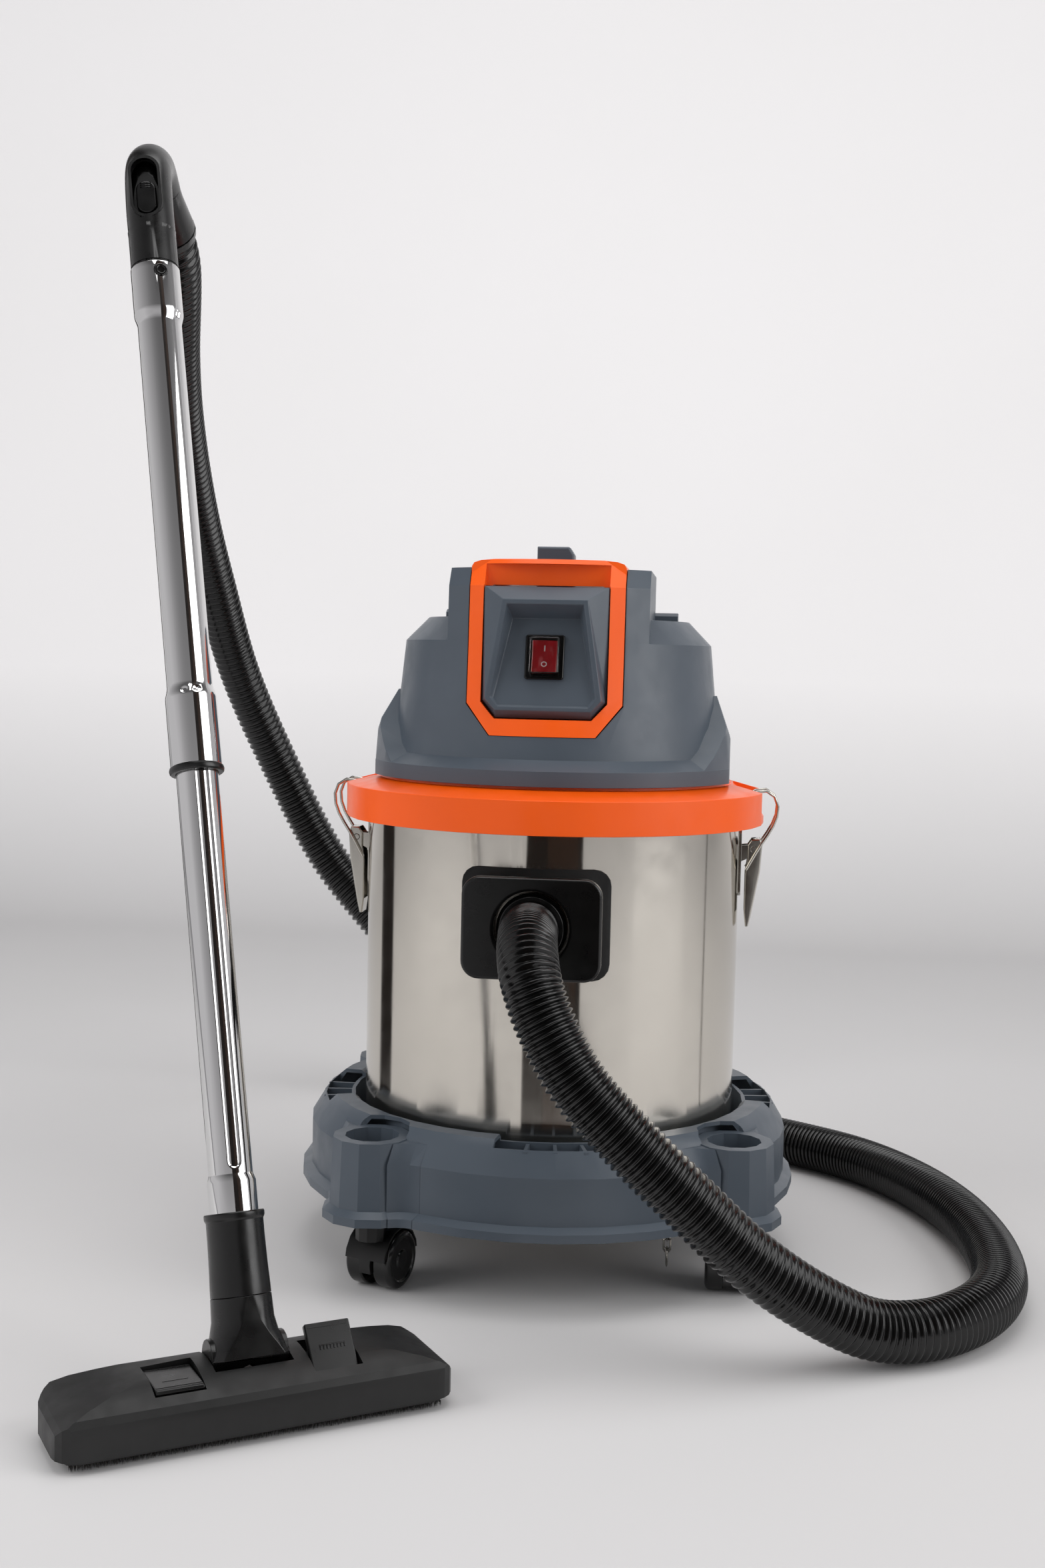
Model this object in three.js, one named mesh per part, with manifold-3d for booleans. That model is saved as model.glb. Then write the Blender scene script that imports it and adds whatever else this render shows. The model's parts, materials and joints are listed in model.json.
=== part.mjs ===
// Shop vacuum: a stainless drum on a four-caster dolly, a lift-off motor head,
// a ribbed hose and a telescoping wand with a floor nozzle.
// Millimetres and degrees, +Z up, front of the drum towards -Y.
import * as THREE from "three";
import { mergeVertices } from "three/addons/utils/BufferGeometryUtils.js";
import Module from "manifold-3d";

// ---------- driving dimensions ----------
const GAP = 0.3; // clearance between pieces that touch
const RUN = 0.4; // radial clearance of a shaft in its bore
const WALL = 3; // moulded plastic wall

const ROUND_BIG = 36; // facets of drum-sized rounds
const ROUND_MID = 16; // facets of hand-sized rounds
const ROUND_SMALL = 10; // facets of pins and bores

const CASTER_HEIGHT = 66.5;
const WHEEL_R = 25;
const WHEEL_WIDTH = 16;
const CASTER_WEB = 11; // plate between the two wheels
const CASTER_TRAIL = 18;
const AXLE_R = 3;
const STEM_R = 5.4;
const STEM_LENGTH = 14;

const DRUM_R = 170;
const DRUM_WALL = 1.5;
const DRUM_HEIGHT = 327.4;
const DRUM_BEAD = 4; // rolled rim, outwards

const DOLLY_YAW = 7;
const DOLLY_WALL = 3.5;
const DOLLY_R = DRUM_R + 49; // outer wall of the ring
const DOLLY_LIP = 8; // how far the skirt flares out at the bottom
const DOLLY_INNER_R = DRUM_R + 10;
const DOLLY_FLOOR_R = 120; // opening in the middle of the floor
const DOLLY_RIM_H = 77.2; // rim above the skirt's lower edge
const DOLLY_SHELF_H = 17.2; // drum shelf above the skirt's lower edge
const LOBE_DISTANCE = DOLLY_R - 1.3;
const LOBE_R = 36;
const LOBE_TOP_R = 33.5;
const LOBE_H = 68.6;
const CUP_R = 23.25;
const CUP_DEPTH = 48;

const INLET_Z = 319.6;
const INLET_FACE = 30; // plate face in front of the drum
const PORT_R = 31.5;
const PLATE_WIDTH = 116;
const PLATE_HEIGHT = 85;
const PLATE_DEPTH = 11;
const GASKET_WIDTH = 126;
const GASKET_HEIGHT = 94;
const GASKET_DEPTH = 2.5;
const CUFF_R = 27.5;

const COLLAR_R = DRUM_R + 21.5;
const COLLAR_SKIRT = 16; // skirt below the drum's rim
const COLLAR_TOP_H = 22.3; // collar neck above the drum's rim
const NOTCH_WIDTH = 56;
const SEAL_R = DRUM_R - 4.7;
const SEAL_WIDTH = 10;
const SEAL_H = 4;

const LATCH_WIDTH = 22;
const WIRE_R = 1.5;

const HEAD_R = DRUM_R - 2; // base band
const HEAD_FLAT = HEAD_R - 9; // flats of the base, left and right
const BAND_H = 13;
const BODY_R = HEAD_R - 16; // foot of the body above the ledge
const BODY_WAIST_R = BODY_R - 12.5;
const SHOULDER_R = BODY_R - 33;
const WING_H = 39; // side wings above the base
const SHOULDER_H = 142; // shoulder deck above the base
const CHEEK_H = 184; // cheek towers above the base
const CHEEK_X = 87;
const CHEEK_BACK = 30;
const FRAME_X = 66.5; // half width of the carrying frame
const FRAME_TOP_H = 191; // carrying frame above the base
const FRAME_BAND = 13;
const FRAME_DEPTH = 14;
const SEAM = 0.8; // open joint round the carrying frame and the switch panel

const MOTOR_R = 72;
const MOTOR_H = 118;
const SHAFT_R = 4;
const FAN_R = 66;
const CAGE_R = 52;
const CAGE_H = 96;
const BALL_R = 30;
const BALL_SEAT_R = 24; // opening that the ball closes when it floats up
const CAGE_DRAIN_R = 10;
const FILTER_R = 78;
const FILTER_H = 92;

const WAND_YAW = 32.6;
const WAND_LEAN = 18.4;
const NOZZLE_X = -173;
const NOZZLE_Y = -435;
const PIVOT_Z = 45; // elbow axle above the floor
const TUBE_R = 16;
const TUBE_WALL = 1;
const UPPER_R = 17.5;
const SOCKET_R = 19.6;
const SWAGE_R = 17.7;
const ELBOW_H = 40; // elbow above its axle
const SOCKET_TOP = 98.5; // stations along the wand from the elbow's axle
const SWAGE_TOP = 120;
const UPPER_START = 430;
const UPPER_END = 845;
const TUBE_INSERT = 60;
const TUBE_COLLAR_H = 5;
const GRIP_R = 19;
const GRIP_TWIST = -23.5; // turn of the hose handle about the wand

const NOZZLE_WIDTH = 287;
const NOZZLE_FRONT = 49;
const NOZZLE_BACK = 34;
const NOZZLE_BASE_Z = 9;
const NOZZLE_TOP_Z = 47;
const ELBOW_WIDTH = 56;
const ELBOW_R = 21.6; // flat front and back of the elbow
const NECK_R = 21; // socket above the elbow
const PEDAL_WIDTH = 34;
const PEDAL_NOSE = 12; // front edge before the hinge
const PEDAL_TAIL = 27; // rear edge behind the hinge
const PEDAL_THICK = 5;
const PEDAL_X = 57;
const PEDAL_RAISED = 50;
const BRISTLE_WIDTH = 268;

const HOSE_R = 23.5;
const HOSE_ROUTE = [
  [0, 0.5 - DRUM_R - INLET_FACE, INLET_Z],
  [0, -22 - DRUM_R - INLET_FACE, INLET_Z],
  [3, -254, 320],
  [6, -283, 314],
  [11, -303, 297],
  [22, -314, 270],
  [49, -323, 225],
  [88, -325, 183],
  [137, -321, 136],
  [185, -312, 91],
  [234, -295, 55],
  [280, -276, 31],
  [325, -252, 24.6],
  [366, -210, 24.6],
  [393, -150, 24.6],
  [402, -59, 24.6],
  [389, 52, 24.6],
  [356, 149, 24.6],
  [306, 228, 24.6],
  [232, 290, 24.6],
  [150, 340, 24.6],
  [60, 395, 30],
  [-40, 448, 52],
  [-140, 488, 104],
  [-215, 505, 172],
  [-269, 506, 228],
  [-324, 505, 296],
  [-379, 485, 406],
  [-415, 435, 513],
  [-426, 360, 615],
  [-427, 300, 678],
  [-420, 230, 736],
  [-406, 152, 789],
  [-388, 80, 828],
];

// ---------- derived heights ----------
const DOLLY_Z = CASTER_HEIGHT + GAP;
const DRUM_Z = DOLLY_Z + DOLLY_SHELF_H + GAP;
const DRUM_TOP = DRUM_Z + DRUM_HEIGHT;
const SEAL_Z = DRUM_TOP + GAP;
const COLLAR_TOP = DRUM_TOP + COLLAR_TOP_H;
const HEAD_Z = COLLAR_TOP + GAP;

const finishes = {
  slate: [0x4b5560, 0.45, 0],
  orange: [0xf4601a, 0.4, 0],
  black: [0x1c1c1d, 0.5, 0],
  steel: [0xd8d8d6, 0.12, 1],
  rubber: [0x222222, 0.8, 0],
  red: [0xa01c20, 0.2, 0],
  cloth: [0xd8d4c8, 0.95, 0],
};

const wasm = await Module();
wasm.setup();

// ---------- solids ----------
const rad = THREE.MathUtils.degToRad;

function at(x, y, z, rx = 0, ry = 0, rz = 0) {
  const turn = new THREE.Matrix4().makeRotationFromEuler(new THREE.Euler(rad(rx), rad(ry), rad(rz), "ZYX"));
  return turn.setPosition(x, y, z);
}

// A closed geometry, moved by a matrix, as a solid that can be joined and cut.
function solid(geometry, matrix = new THREE.Matrix4()) {
  const bare = geometry.clone().applyMatrix4(matrix);
  bare.deleteAttribute("normal");
  bare.deleteAttribute("uv");
  const merged = mergeVertices(bare, 1e-3);
  const index = merged.index.array;
  const triVerts = [];
  for (let i = 0; i < index.length; i += 3) {
    const [a, b, c] = index.slice(i, i + 3);
    if (a !== b && b !== c && c !== a) triVerts.push(a, b, c);
  }
  return new wasm.Manifold(
    new wasm.Mesh({
      numProp: 3,
      vertProperties: merged.attributes.position.array,
      triVerts: new Uint32Array(triVerts),
    }),
  );
}

// A profile of [radius, height] turned about Z; it ends on the axis or closes on itself.
function lathe(profile, facets = ROUND_MID, matrix) {
  const area = profile.reduce((sum, [r, z], i) => {
    const [nextR, nextZ] = profile[(i + 1) % profile.length];
    return sum + r * nextZ - nextR * z;
  }, 0);
  const points = (area > 0 ? profile : [...profile].reverse()).map(([r, z]) => new THREE.Vector2(r, z));
  const first = points[0];
  const last = points[points.length - 1];
  if (first.x > 0 || last.x > 0) points.push(first.clone());
  return solid(new THREE.LatheGeometry(points, facets).rotateX(Math.PI / 2), matrix);
}

function cylinder(r, z0, z1, facets = ROUND_MID, matrix) {
  return lathe([[0, z0], [r, z0], [r, z1], [0, z1]], facets, matrix);
}

function ring(outer, inner, z0, z1, facets = ROUND_MID, matrix) {
  return lathe([[inner, z0], [outer, z0], [outer, z1], [inner, z1]], facets, matrix);
}

function box(x0, x1, y0, y1, z0, z1, matrix) {
  const geometry = new THREE.BoxGeometry(x1 - x0, y1 - y0, z1 - z0);
  geometry.translate((x0 + x1) / 2, (y0 + y1) / 2, (z0 + z1) / 2);
  return solid(geometry, matrix);
}

// An outline extruded from z0 to z1, with an optional chamfer inwards at both ends.
function extruded(points, z0, z1, chamfer = 0) {
  const shape = new THREE.Shape(points.map(([x, y]) => new THREE.Vector2(x, y)));
  const geometry = new THREE.ExtrudeGeometry(shape, {
    depth: z1 - z0 - 2 * chamfer,
    bevelEnabled: chamfer > 0,
    bevelThickness: chamfer,
    bevelSize: chamfer,
    bevelOffset: -chamfer,
    bevelSegments: 1,
    curveSegments: 1,
  });
  return geometry.translate(0, 0, z0 + chamfer);
}

const prism = (points, z0, z1, chamfer, matrix) => solid(extruded(points, z0, z1, chamfer), matrix);

// An outline in (y, z) extruded along X.
function prismX(points, x0, x1, chamfer, matrix = new THREE.Matrix4()) {
  const axes = new THREE.Matrix4().makeBasis(
    new THREE.Vector3(0, 1, 0),
    new THREE.Vector3(0, 0, 1),
    new THREE.Vector3(1, 0, 0),
  );
  return solid(extruded(points, x0, x1, chamfer), matrix.clone().multiply(axes));
}

// An outline in (x, z) extruded along Y.
function prismY(points, y0, y1, chamfer, matrix = new THREE.Matrix4()) {
  const axes = new THREE.Matrix4().makeBasis(
    new THREE.Vector3(1, 0, 0),
    new THREE.Vector3(0, 0, 1),
    new THREE.Vector3(0, -1, 0),
  );
  return solid(extruded(points, -y1, -y0, chamfer), matrix.clone().multiply(axes));
}

function arc(cx, cy, r, from, to, steps) {
  return Array.from({ length: steps + 1 }, (_, i) => {
    const a = rad(from + ((to - from) * i) / steps);
    return [cx + r * Math.cos(a), cy + r * Math.sin(a)];
  });
}

function roundedRectangle(width, height, r, steps = 4) {
  const x = width / 2 - r;
  const y = height / 2 - r;
  return [
    ...arc(x, -y, r, -90, 0, steps),
    ...arc(x, y, r, 0, 90, steps),
    ...arc(-x, y, r, 90, 180, steps),
    ...arc(-x, -y, r, 180, 270, steps),
  ];
}

// Like outlines at rising heights, [z, points], joined into one closed body; a point may be lifted further.
function loft(sections, matrix) {
  const count = sections[0][1].length;
  const positions = sections.flatMap(([z, points]) => points.flatMap(([x, y, lift = 0]) => [x, y, z + lift]));
  const flat = (points) => points.map(([x, y]) => new THREE.Vector2(x, y));
  const bottom = THREE.ShapeUtils.triangulateShape(flat(sections[0][1]), []);
  const top = THREE.ShapeUtils.triangulateShape(flat(sections.at(-1)[1]), []);
  const last = (sections.length - 1) * count;
  const index = [
    ...bottom.flatMap(([a, b, c]) => [a, c, b]),
    ...top.flatMap(([a, b, c]) => [a + last, b + last, c + last]),
  ];
  for (let level = 0; level < last; level += count) {
    for (let i = 0; i < count; i++) {
      const a = level + i;
      const b = level + ((i + 1) % count);
      index.push(a, b, b + count, a, b + count, a + count);
    }
  }
  const geometry = new THREE.BufferGeometry();
  geometry.setAttribute("position", new THREE.Float32BufferAttribute(positions, 3));
  geometry.setIndex(index);
  return solid(geometry, matrix);
}

function tube(points, r, sides, steps, matrix) {
  const path = new THREE.CatmullRomCurve3(points.map(([x, y, z]) => new THREE.Vector3(x, y, z)));
  const section = new THREE.Shape(arc(0, 0, r, 0, 360 - 360 / sides, sides - 1).map(([x, y]) => new THREE.Vector2(x, y)));
  return solid(new THREE.ExtrudeGeometry(section, { extrudePath: path, steps, bevelEnabled: false }), matrix);
}

// The main body, without the slivers that faces lying on each other leave.
function largest(body) {
  return body.decompose().reduce((best, next) => (next.volume() > best.volume() ? next : best));
}

function piece(parent, name, body, finish) {
  const { vertProperties, triVerts } = body.asOriginal().simplify(0.02).getMesh();
  const geometry = new THREE.BufferGeometry();
  geometry.setAttribute("position", new THREE.BufferAttribute(vertProperties, 3));
  geometry.setIndex(new THREE.BufferAttribute(triVerts, 1));
  geometry.computeVertexNormals();
  const [color, roughness, metalness] = finishes[finish];
  const mesh = new THREE.Mesh(geometry, new THREE.MeshStandardMaterial({ color, roughness, metalness }));
  mesh.name = name;
  parent.add(mesh);
  return mesh;
}

function group(parent, x = 0, y = 0, z = 0, turn = [0, 0, 0]) {
  const made = new THREE.Group();
  made.position.set(x, y, z);
  made.rotation.set(...turn.map(rad), "ZYX");
  parent.add(made);
  return made;
}

// ---------- dolly ----------
const LOBE_FACETS = 12;
const lobeAngles = { front_left: -135, front_right: -45, rear_right: 45, rear_left: 135 };

// One concave corner between the ring and a lobe that lies along +X, on its +Y side.
function cornerOutline(ringR, lobeR, filletR) {
  const inset = DOLLY_WALL / 2;
  const angleTo = (fromRing, fromLobe) =>
    Math.acos((fromRing ** 2 + LOBE_DISTANCE ** 2 - fromLobe ** 2) / (2 * fromRing * LOBE_DISTANCE));
  const away = angleTo(ringR + filletR, lobeR + filletR);
  const cx = (ringR + filletR) * Math.cos(away);
  const cy = (ringR + filletR) * Math.sin(away);
  const toRing = THREE.MathUtils.radToDeg(away) + 180;
  const toLobe = 360 + THREE.MathUtils.radToDeg(Math.atan2(-cy, LOBE_DISTANCE - cx));
  const inner = angleTo(ringR - inset, lobeR - inset);
  return [
    [(ringR - inset) * Math.cos(inner), (ringR - inset) * Math.sin(inner)],
    ...arc(cx, cy, filletR, toLobe, toRing, 3),
  ];
}

function cornerWeb(side, matrix) {
  const skirt = cornerOutline(DOLLY_R + DOLLY_LIP, LOBE_R + 6, 22);
  const wall = cornerOutline(DOLLY_R, LOBE_R, 30);
  const sections = [
    [0, skirt],
    [DOLLY_LIP - 0.8, skirt],
    [11.2, wall],
    [51.2, wall],
    [LOBE_H - 1, cornerOutline(DOLLY_R - 10, LOBE_TOP_R, 26)],
  ];
  const sided = sections.map(([z, points]) => [z, side > 0 ? points : points.map(([x, y]) => [x, -y]).reverse()]);
  return loft(sided, matrix);
}

function lobeProfile(inset) {
  return [
    [0, 0],
    [LOBE_R + 6 - inset, 0],
    [LOBE_R + 6 - inset, 7.2],
    [LOBE_R - inset, 12],
    [LOBE_TOP_R - inset, LOBE_H],
  ];
}

function lobe(matrix) {
  const floor = LOBE_H - CUP_DEPTH;
  const under = floor - DOLLY_WALL;
  const [, skirtLow, skirtTop, foot, brim] = lobeProfile(0);
  const [, innerLow, , innerFoot] = lobeProfile(DOLLY_WALL);
  return lathe(
    [
      [0, floor],
      [CUP_R, floor],
      [CUP_R, LOBE_H],
      brim,
      foot,
      skirtTop,
      skirtLow,
      innerLow,
      innerFoot,
      [CUP_R + DOLLY_WALL, LOBE_H - DOLLY_WALL],
      [CUP_R + DOLLY_WALL, under],
      [STEM_R + 5, under],
      [STEM_R + 5, 0],
      [STEM_R + RUN, 0],
      [STEM_R + RUN, under],
      [0, under],
    ],
    LOBE_FACETS,
    matrix,
  );
}

function dollyBody() {
  const t = DOLLY_WALL;
  let body = lathe(
    [
      [DOLLY_FLOOR_R, DOLLY_SHELF_H],
      [DRUM_R + 2, DOLLY_SHELF_H],
      [DRUM_R + 2, DOLLY_SHELF_H + 16],
      [DOLLY_INNER_R, DOLLY_RIM_H - 10],
      [DOLLY_INNER_R, DOLLY_RIM_H - t],
      [DOLLY_INNER_R + t + 1, DOLLY_RIM_H],
      [DOLLY_R - 19, DOLLY_RIM_H],
      [DOLLY_R - 12, DOLLY_RIM_H - 6],
      [DOLLY_R, DOLLY_RIM_H - 26],
      [DOLLY_R, 11.2],
      [DOLLY_R + DOLLY_LIP, 7.2],
      [DOLLY_R + DOLLY_LIP, 0],
      [DOLLY_R + DOLLY_LIP - t, 0],
      [DOLLY_R + DOLLY_LIP - t, 4.7],
      [DOLLY_R - t, 8.7],
      [DOLLY_R - t, DOLLY_RIM_H - 27],
      [DOLLY_R - t - 16, DOLLY_RIM_H - t],
      [DOLLY_INNER_R + t, DOLLY_RIM_H - t],
      [DOLLY_INNER_R + t, DOLLY_SHELF_H - t],
      [DOLLY_FLOOR_R, DOLLY_SHELF_H - t],
    ],
    ROUND_BIG,
  );
  // four ribbed pockets in the rim, between the lobes
  const pocketInner = DOLLY_INNER_R + t;
  const pocketOuter = DOLLY_R - 13;
  const pocketHalf = 14.5;
  for (let a = 0; a < 360; a += 90) {
    const sector = [
      ...arc(0, 0, pocketOuter, a - pocketHalf, a + pocketHalf, 3),
      ...arc(0, 0, pocketInner, a + pocketHalf, a - pocketHalf, 3),
    ];
    const brim = [
      ...arc(0, 0, DOLLY_R, a - pocketHalf, a + pocketHalf, 3),
      ...arc(0, 0, DOLLY_INNER_R - 2, a + pocketHalf, a - pocketHalf, 3),
    ];
    body = body.subtract(prism(sector, 30, DOLLY_RIM_H + 1));
    body = body.subtract(prism(brim, DOLLY_RIM_H - 6, DOLLY_RIM_H + 1));
    for (const rib of [-7, 0, 7]) {
      const turned = at(0, 0, 0, 0, 0, a + rib);
      body = body.add(box(DOLLY_INNER_R + 1, DOLLY_R - 11, -1.5, 1.5, 30, DOLLY_RIM_H - 7, turned));
    }
  }
  for (const angle of Object.values(lobeAngles)) {
    const placed = new THREE.Matrix4().makeRotationZ(rad(angle)).multiply(at(LOBE_DISTANCE, 0, 0));
    const filled = [...lobeProfile(1), [0, LOBE_H]];
    body = body.subtract(lathe(filled, LOBE_FACETS, placed));
    body = body.subtract(cylinder(LOBE_TOP_R - 1, LOBE_H - 1, DOLLY_RIM_H + 1, LOBE_FACETS, placed));
  }
  for (const angle of Object.values(lobeAngles)) {
    const turned = at(0, 0, 0, 0, 0, angle);
    const placed = turned.clone().multiply(at(LOBE_DISTANCE, 0, 0));
    body = body.add(lobe(placed)).add(cornerWeb(1, turned)).add(cornerWeb(-1, turned));
  }
  return largest(body);
}

function caster(parent, name) {
  const wheelX = -CASTER_TRAIL;
  const hoodR = WHEEL_R + 3.2;
  const hoodInner = WHEEL_R + 1.4;
  const hoodHalf = CASTER_WEB / 2 + WHEEL_WIDTH - 2;
  const axle = at(wheelX, 0, WHEEL_R, 90);
  const cheek = CASTER_WEB / 2;
  let hood = cylinder(hoodR, -hoodHalf, hoodHalf, ROUND_MID, axle);
  for (const side of [-1, 1]) {
    const [low, high] = side < 0 ? [-hoodHalf - 1, -cheek] : [cheek, hoodHalf + 1];
    hood = hood.subtract(cylinder(hoodInner, low, high, ROUND_MID, axle));
  }
  hood = hood.subtract(box(-60, 60, -60, 60, -20, WHEEL_R - 8));
  hood = hood.subtract(box(-60, 60, -60, -cheek, -20, WHEEL_R + 4));
  hood = hood.subtract(box(-60, 60, cheek, 60, -20, WHEEL_R + 4));
  hood = hood.add(cylinder(13, WHEEL_R + hoodR - 8, CASTER_HEIGHT, ROUND_SMALL));
  hood = hood.subtract(cylinder(hoodInner, -hoodHalf - 1, -cheek, ROUND_MID, axle));
  hood = hood.subtract(cylinder(hoodInner, cheek, hoodHalf + 1, ROUND_MID, axle));
  hood = hood.add(cylinder(STEM_R, CASTER_HEIGHT - 1, CASTER_HEIGHT + STEM_LENGTH, ROUND_SMALL));
  hood = hood.subtract(cylinder(AXLE_R + GAP, -hoodHalf, hoodHalf, ROUND_SMALL, axle));
  piece(parent, `caster_hood_${name}`, hood, "black");

  const wheels = group(parent, wheelX, 0, WHEEL_R);
  const length = CASTER_WEB / 2 + WHEEL_WIDTH - 1;
  piece(wheels, `caster_axle_${name}`, cylinder(AXLE_R, -length, length, ROUND_SMALL, at(0, 0, 0, 90)), "steel");
  for (const [side, label] of [[-1, "left"], [1, "right"]]) {
    const inner = CASTER_WEB / 2 + GAP;
    const outer = inner + WHEEL_WIDTH;
    const profile = [
      [AXLE_R + GAP, inner],
      [WHEEL_R - 2, inner],
      [WHEEL_R, inner + 2],
      [WHEEL_R, outer - 4],
      [WHEEL_R - 4, outer],
      [0, outer],
      [0, length + GAP],
      [AXLE_R + GAP, length + GAP],
    ];
    const wheel = lathe(profile, ROUND_SMALL + 4, at(0, 0, 0, side < 0 ? 90 : -90));
    piece(wheels, `caster_wheel_${name}_${label}`, wheel, "black");
  }
}

const CHAIN_R = DOLLY_FLOOR_R + 21; // the chain hangs from the dolly's shelf
const CHAIN_TURN = rad(-34.6);

// Links of round wire, each turned a quarter turn from the last.
function earthingChain() {
  const pitch = 11.4;
  const bend = 3.4;
  const wire = 1.1;
  const stretch = 2.2;
  const top = DOLLY_Z + DOLLY_SHELF_H - DOLLY_WALL - GAP - (bend + wire) * stretch;
  const links = Math.floor(top / pitch);
  let chain = null;
  for (let i = 0; i < links; i++) {
    const link = new THREE.TorusGeometry(bend, wire, 4, 6).rotateZ(Math.PI / 2).scale(1, stretch, 1).rotateX(Math.PI / 2);
    const made = solid(link, at(0, 0, top - i * pitch, 0, 0, i * 90));
    chain = chain ? chain.add(made) : made;
  }
  return chain;
}

// ---------- drum and inlet ----------
function drumBody() {
  const bead = DRUM_R + DRUM_BEAD;
  const height = DRUM_HEIGHT;
  const corner = 8;
  const wall = lathe(
    [
      [0, 0],
      [DRUM_R - corner, 0],
      [DRUM_R, corner],
      [DRUM_R, height - 8],
      [bead, height - 6],
      [bead, height],
      [DRUM_R - DRUM_WALL, height],
      [DRUM_R - DRUM_WALL, corner + 0.6],
      [DRUM_R - corner - 0.6, DRUM_WALL],
      [0, DRUM_WALL],
    ],
    ROUND_BIG,
  );
  const hole = cylinder(PORT_R + WALL + GAP, 100, 200, ROUND_MID, at(0, 0, INLET_Z - DRUM_Z, 90));
  return wall.subtract(hole);
}

// The inlet group's own axes: origin on the drum's axis at port height, outwards is -Y.
function inlet(parent) {
  const outwards = at(0, 0, 0, 90); // turns +Z to -Y
  const seat = DRUM_R + GAP;
  const pad = seat + GASKET_DEPTH;
  const face = DRUM_R + INLET_FACE;
  const plateBack = face - PLATE_DEPTH;
  const rounded = (width, height, r) => roundedRectangle(width, height, r);
  const shell = ring(pad, seat, -GASKET_HEIGHT, GASKET_HEIGHT, ROUND_BIG);
  const gasket = prismY(rounded(GASKET_WIDTH, GASKET_HEIGHT, 14), -pad - 5, -100)
    .intersect(shell)
    .subtract(cylinder(PORT_R + WALL + GAP, 90, face + 20, ROUND_MID, outwards));
  piece(parent, "inlet_gasket", gasket, "rubber");

  const core = cylinder(pad + GAP, -GASKET_HEIGHT, GASKET_HEIGHT, ROUND_BIG);
  const adapter = prismY(rounded(PLATE_WIDTH - 8, PLATE_HEIGHT - 8, 12), -plateBack + GAP, -120)
    .subtract(core)
    .add(cylinder(PORT_R + WALL, DRUM_R - 25, plateBack - GAP, ROUND_MID, outwards))
    .subtract(cylinder(CUFF_R + GAP, plateBack - 14, face, ROUND_MID, outwards))
    .subtract(cylinder(CUFF_R - 3, DRUM_R - 40, face, ROUND_MID, outwards));
  piece(parent, "inlet_adapter", adapter, "steel");

  const plate = prismY(rounded(PLATE_WIDTH, PLATE_HEIGHT, 15), -face, -plateBack, 2.5)
    .subtract(cylinder(PORT_R, plateBack - 5, face + 5, ROUND_MID, outwards));
  piece(parent, "inlet_plate", plate, "black");

  const back = plateBack - 14 + GAP;
  const lip = face - 0.8;
  const cuff = lathe(
    [
      [CUFF_R - 5, back],
      [CUFF_R, back],
      [CUFF_R, plateBack + 1],
      [CUFF_R + 2, plateBack + 2],
      [CUFF_R + 2, plateBack + 5],
      [CUFF_R, plateBack + 6],
      [CUFF_R, lip],
      [CUFF_R - 5, lip],
    ],
    ROUND_MID,
    outwards,
  );
  piece(parent, "hose_inlet_cuff", cuff, "black");
}

// ---------- latches: built for the +X side, u is the distance from the drum's axis ----------
const LATCH_PIVOT = [DRUM_R + 13.5, DRUM_TOP - 39.7];
const BAIL_BAR = [DRUM_R + 6, DRUM_TOP + 8.3];
const LATCH_FLANK = LATCH_WIDTH / 2;

function latchBracket() {
  const [u, z] = LATCH_PIVOT;
  const back = DRUM_R + GAP;
  const ears = LATCH_FLANK - 2.2 - GAP;
  const plate = prismX(roundedRectangle(26, 62, 5, 2).map(([y, h]) => [y, h + z - 12]), back, back + 2);
  const ear = [[back + 1, z - 12], [back + 1, z + 3], [u + 1, z + 4.4], [u + 3.4, z + 3.4], [u + 4.5, z], [u + 3, z - 4.5]];
  const pin = cylinder(2.5, -LATCH_FLANK - GAP / 2, LATCH_FLANK + GAP / 2, ROUND_SMALL, at(u, 0, z, 90));
  return plate.add(prismY(ear, -ears, -ears + 2)).add(prismY(ear, ears - 2, ears)).add(pin);
}

function latchLever() {
  const [u, z] = LATCH_PIVOT;
  const side = [
    [u - 2, z + 9],
    [u + 5.5, z + 9.5],
    [u + 7.5, z + 4],
    [u + 6, z - 20],
    [u - 1, z - 60],
    [u - 3.5, z - 71],
    [u - 6, z - 71],
    [u - 7.5, z - 58],
    [u - 7.5, z - 22],
    [u - 5.5, z - 8],
    [u - 5.5, z + 4],
  ];
  const hollow = [
    [u - 20, z + 20],
    [u + 3.6, z + 20],
    [u + 5.8, z + 4],
    [u + 4.2, z - 20],
    [u - 2.6, z - 58],
    [u - 20, z - 58],
  ];
  const inner = LATCH_FLANK - 1.8;
  return prismY(side, -LATCH_FLANK, LATCH_FLANK, 0.8)
    .subtract(prismY(hollow, -inner, inner))
    .subtract(cylinder(2.5 + RUN, -20, 20, ROUND_SMALL, at(u, 0, z, 90)));
}

// Round wire: a bar in the collar's notch and two bowed legs outside the lever's flanks.
function latchBail() {
  const [u, z] = BAIL_BAR;
  const foot = [DRUM_R + 6.8, LATCH_PIVOT[1] - 18.5];
  const side = LATCH_FLANK + WIRE_R + 0.6;
  const leg = (y) => [
    [u, y, z],
    [u + 8, y, z + 4.5],
    [u + 18, y, z + 5.5],
    [u + 26, y, z - 1],
    [u + 28, y, z - 12],
    [u + 24, y, z - 26],
    [u + 12, y, z - 46],
    [foot[0], y, foot[1]],
  ];
  const bar = cylinder(WIRE_R, -side - WIRE_R, side + WIRE_R, 6, at(u, 0, z, 90));
  return bar.add(tube(leg(side), WIRE_R, 6, 11)).add(tube(leg(-side), WIRE_R, 6, 11));
}

// ---------- motor head ----------
const NOTCH_LOW = [COLLAR_R - 3.3, DRUM_TOP - 6.1]; // foot of the slanted floor, where the wall starts
const NOTCH_HIGH = [DRUM_R - 7, DRUM_TOP + 18.3];

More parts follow.
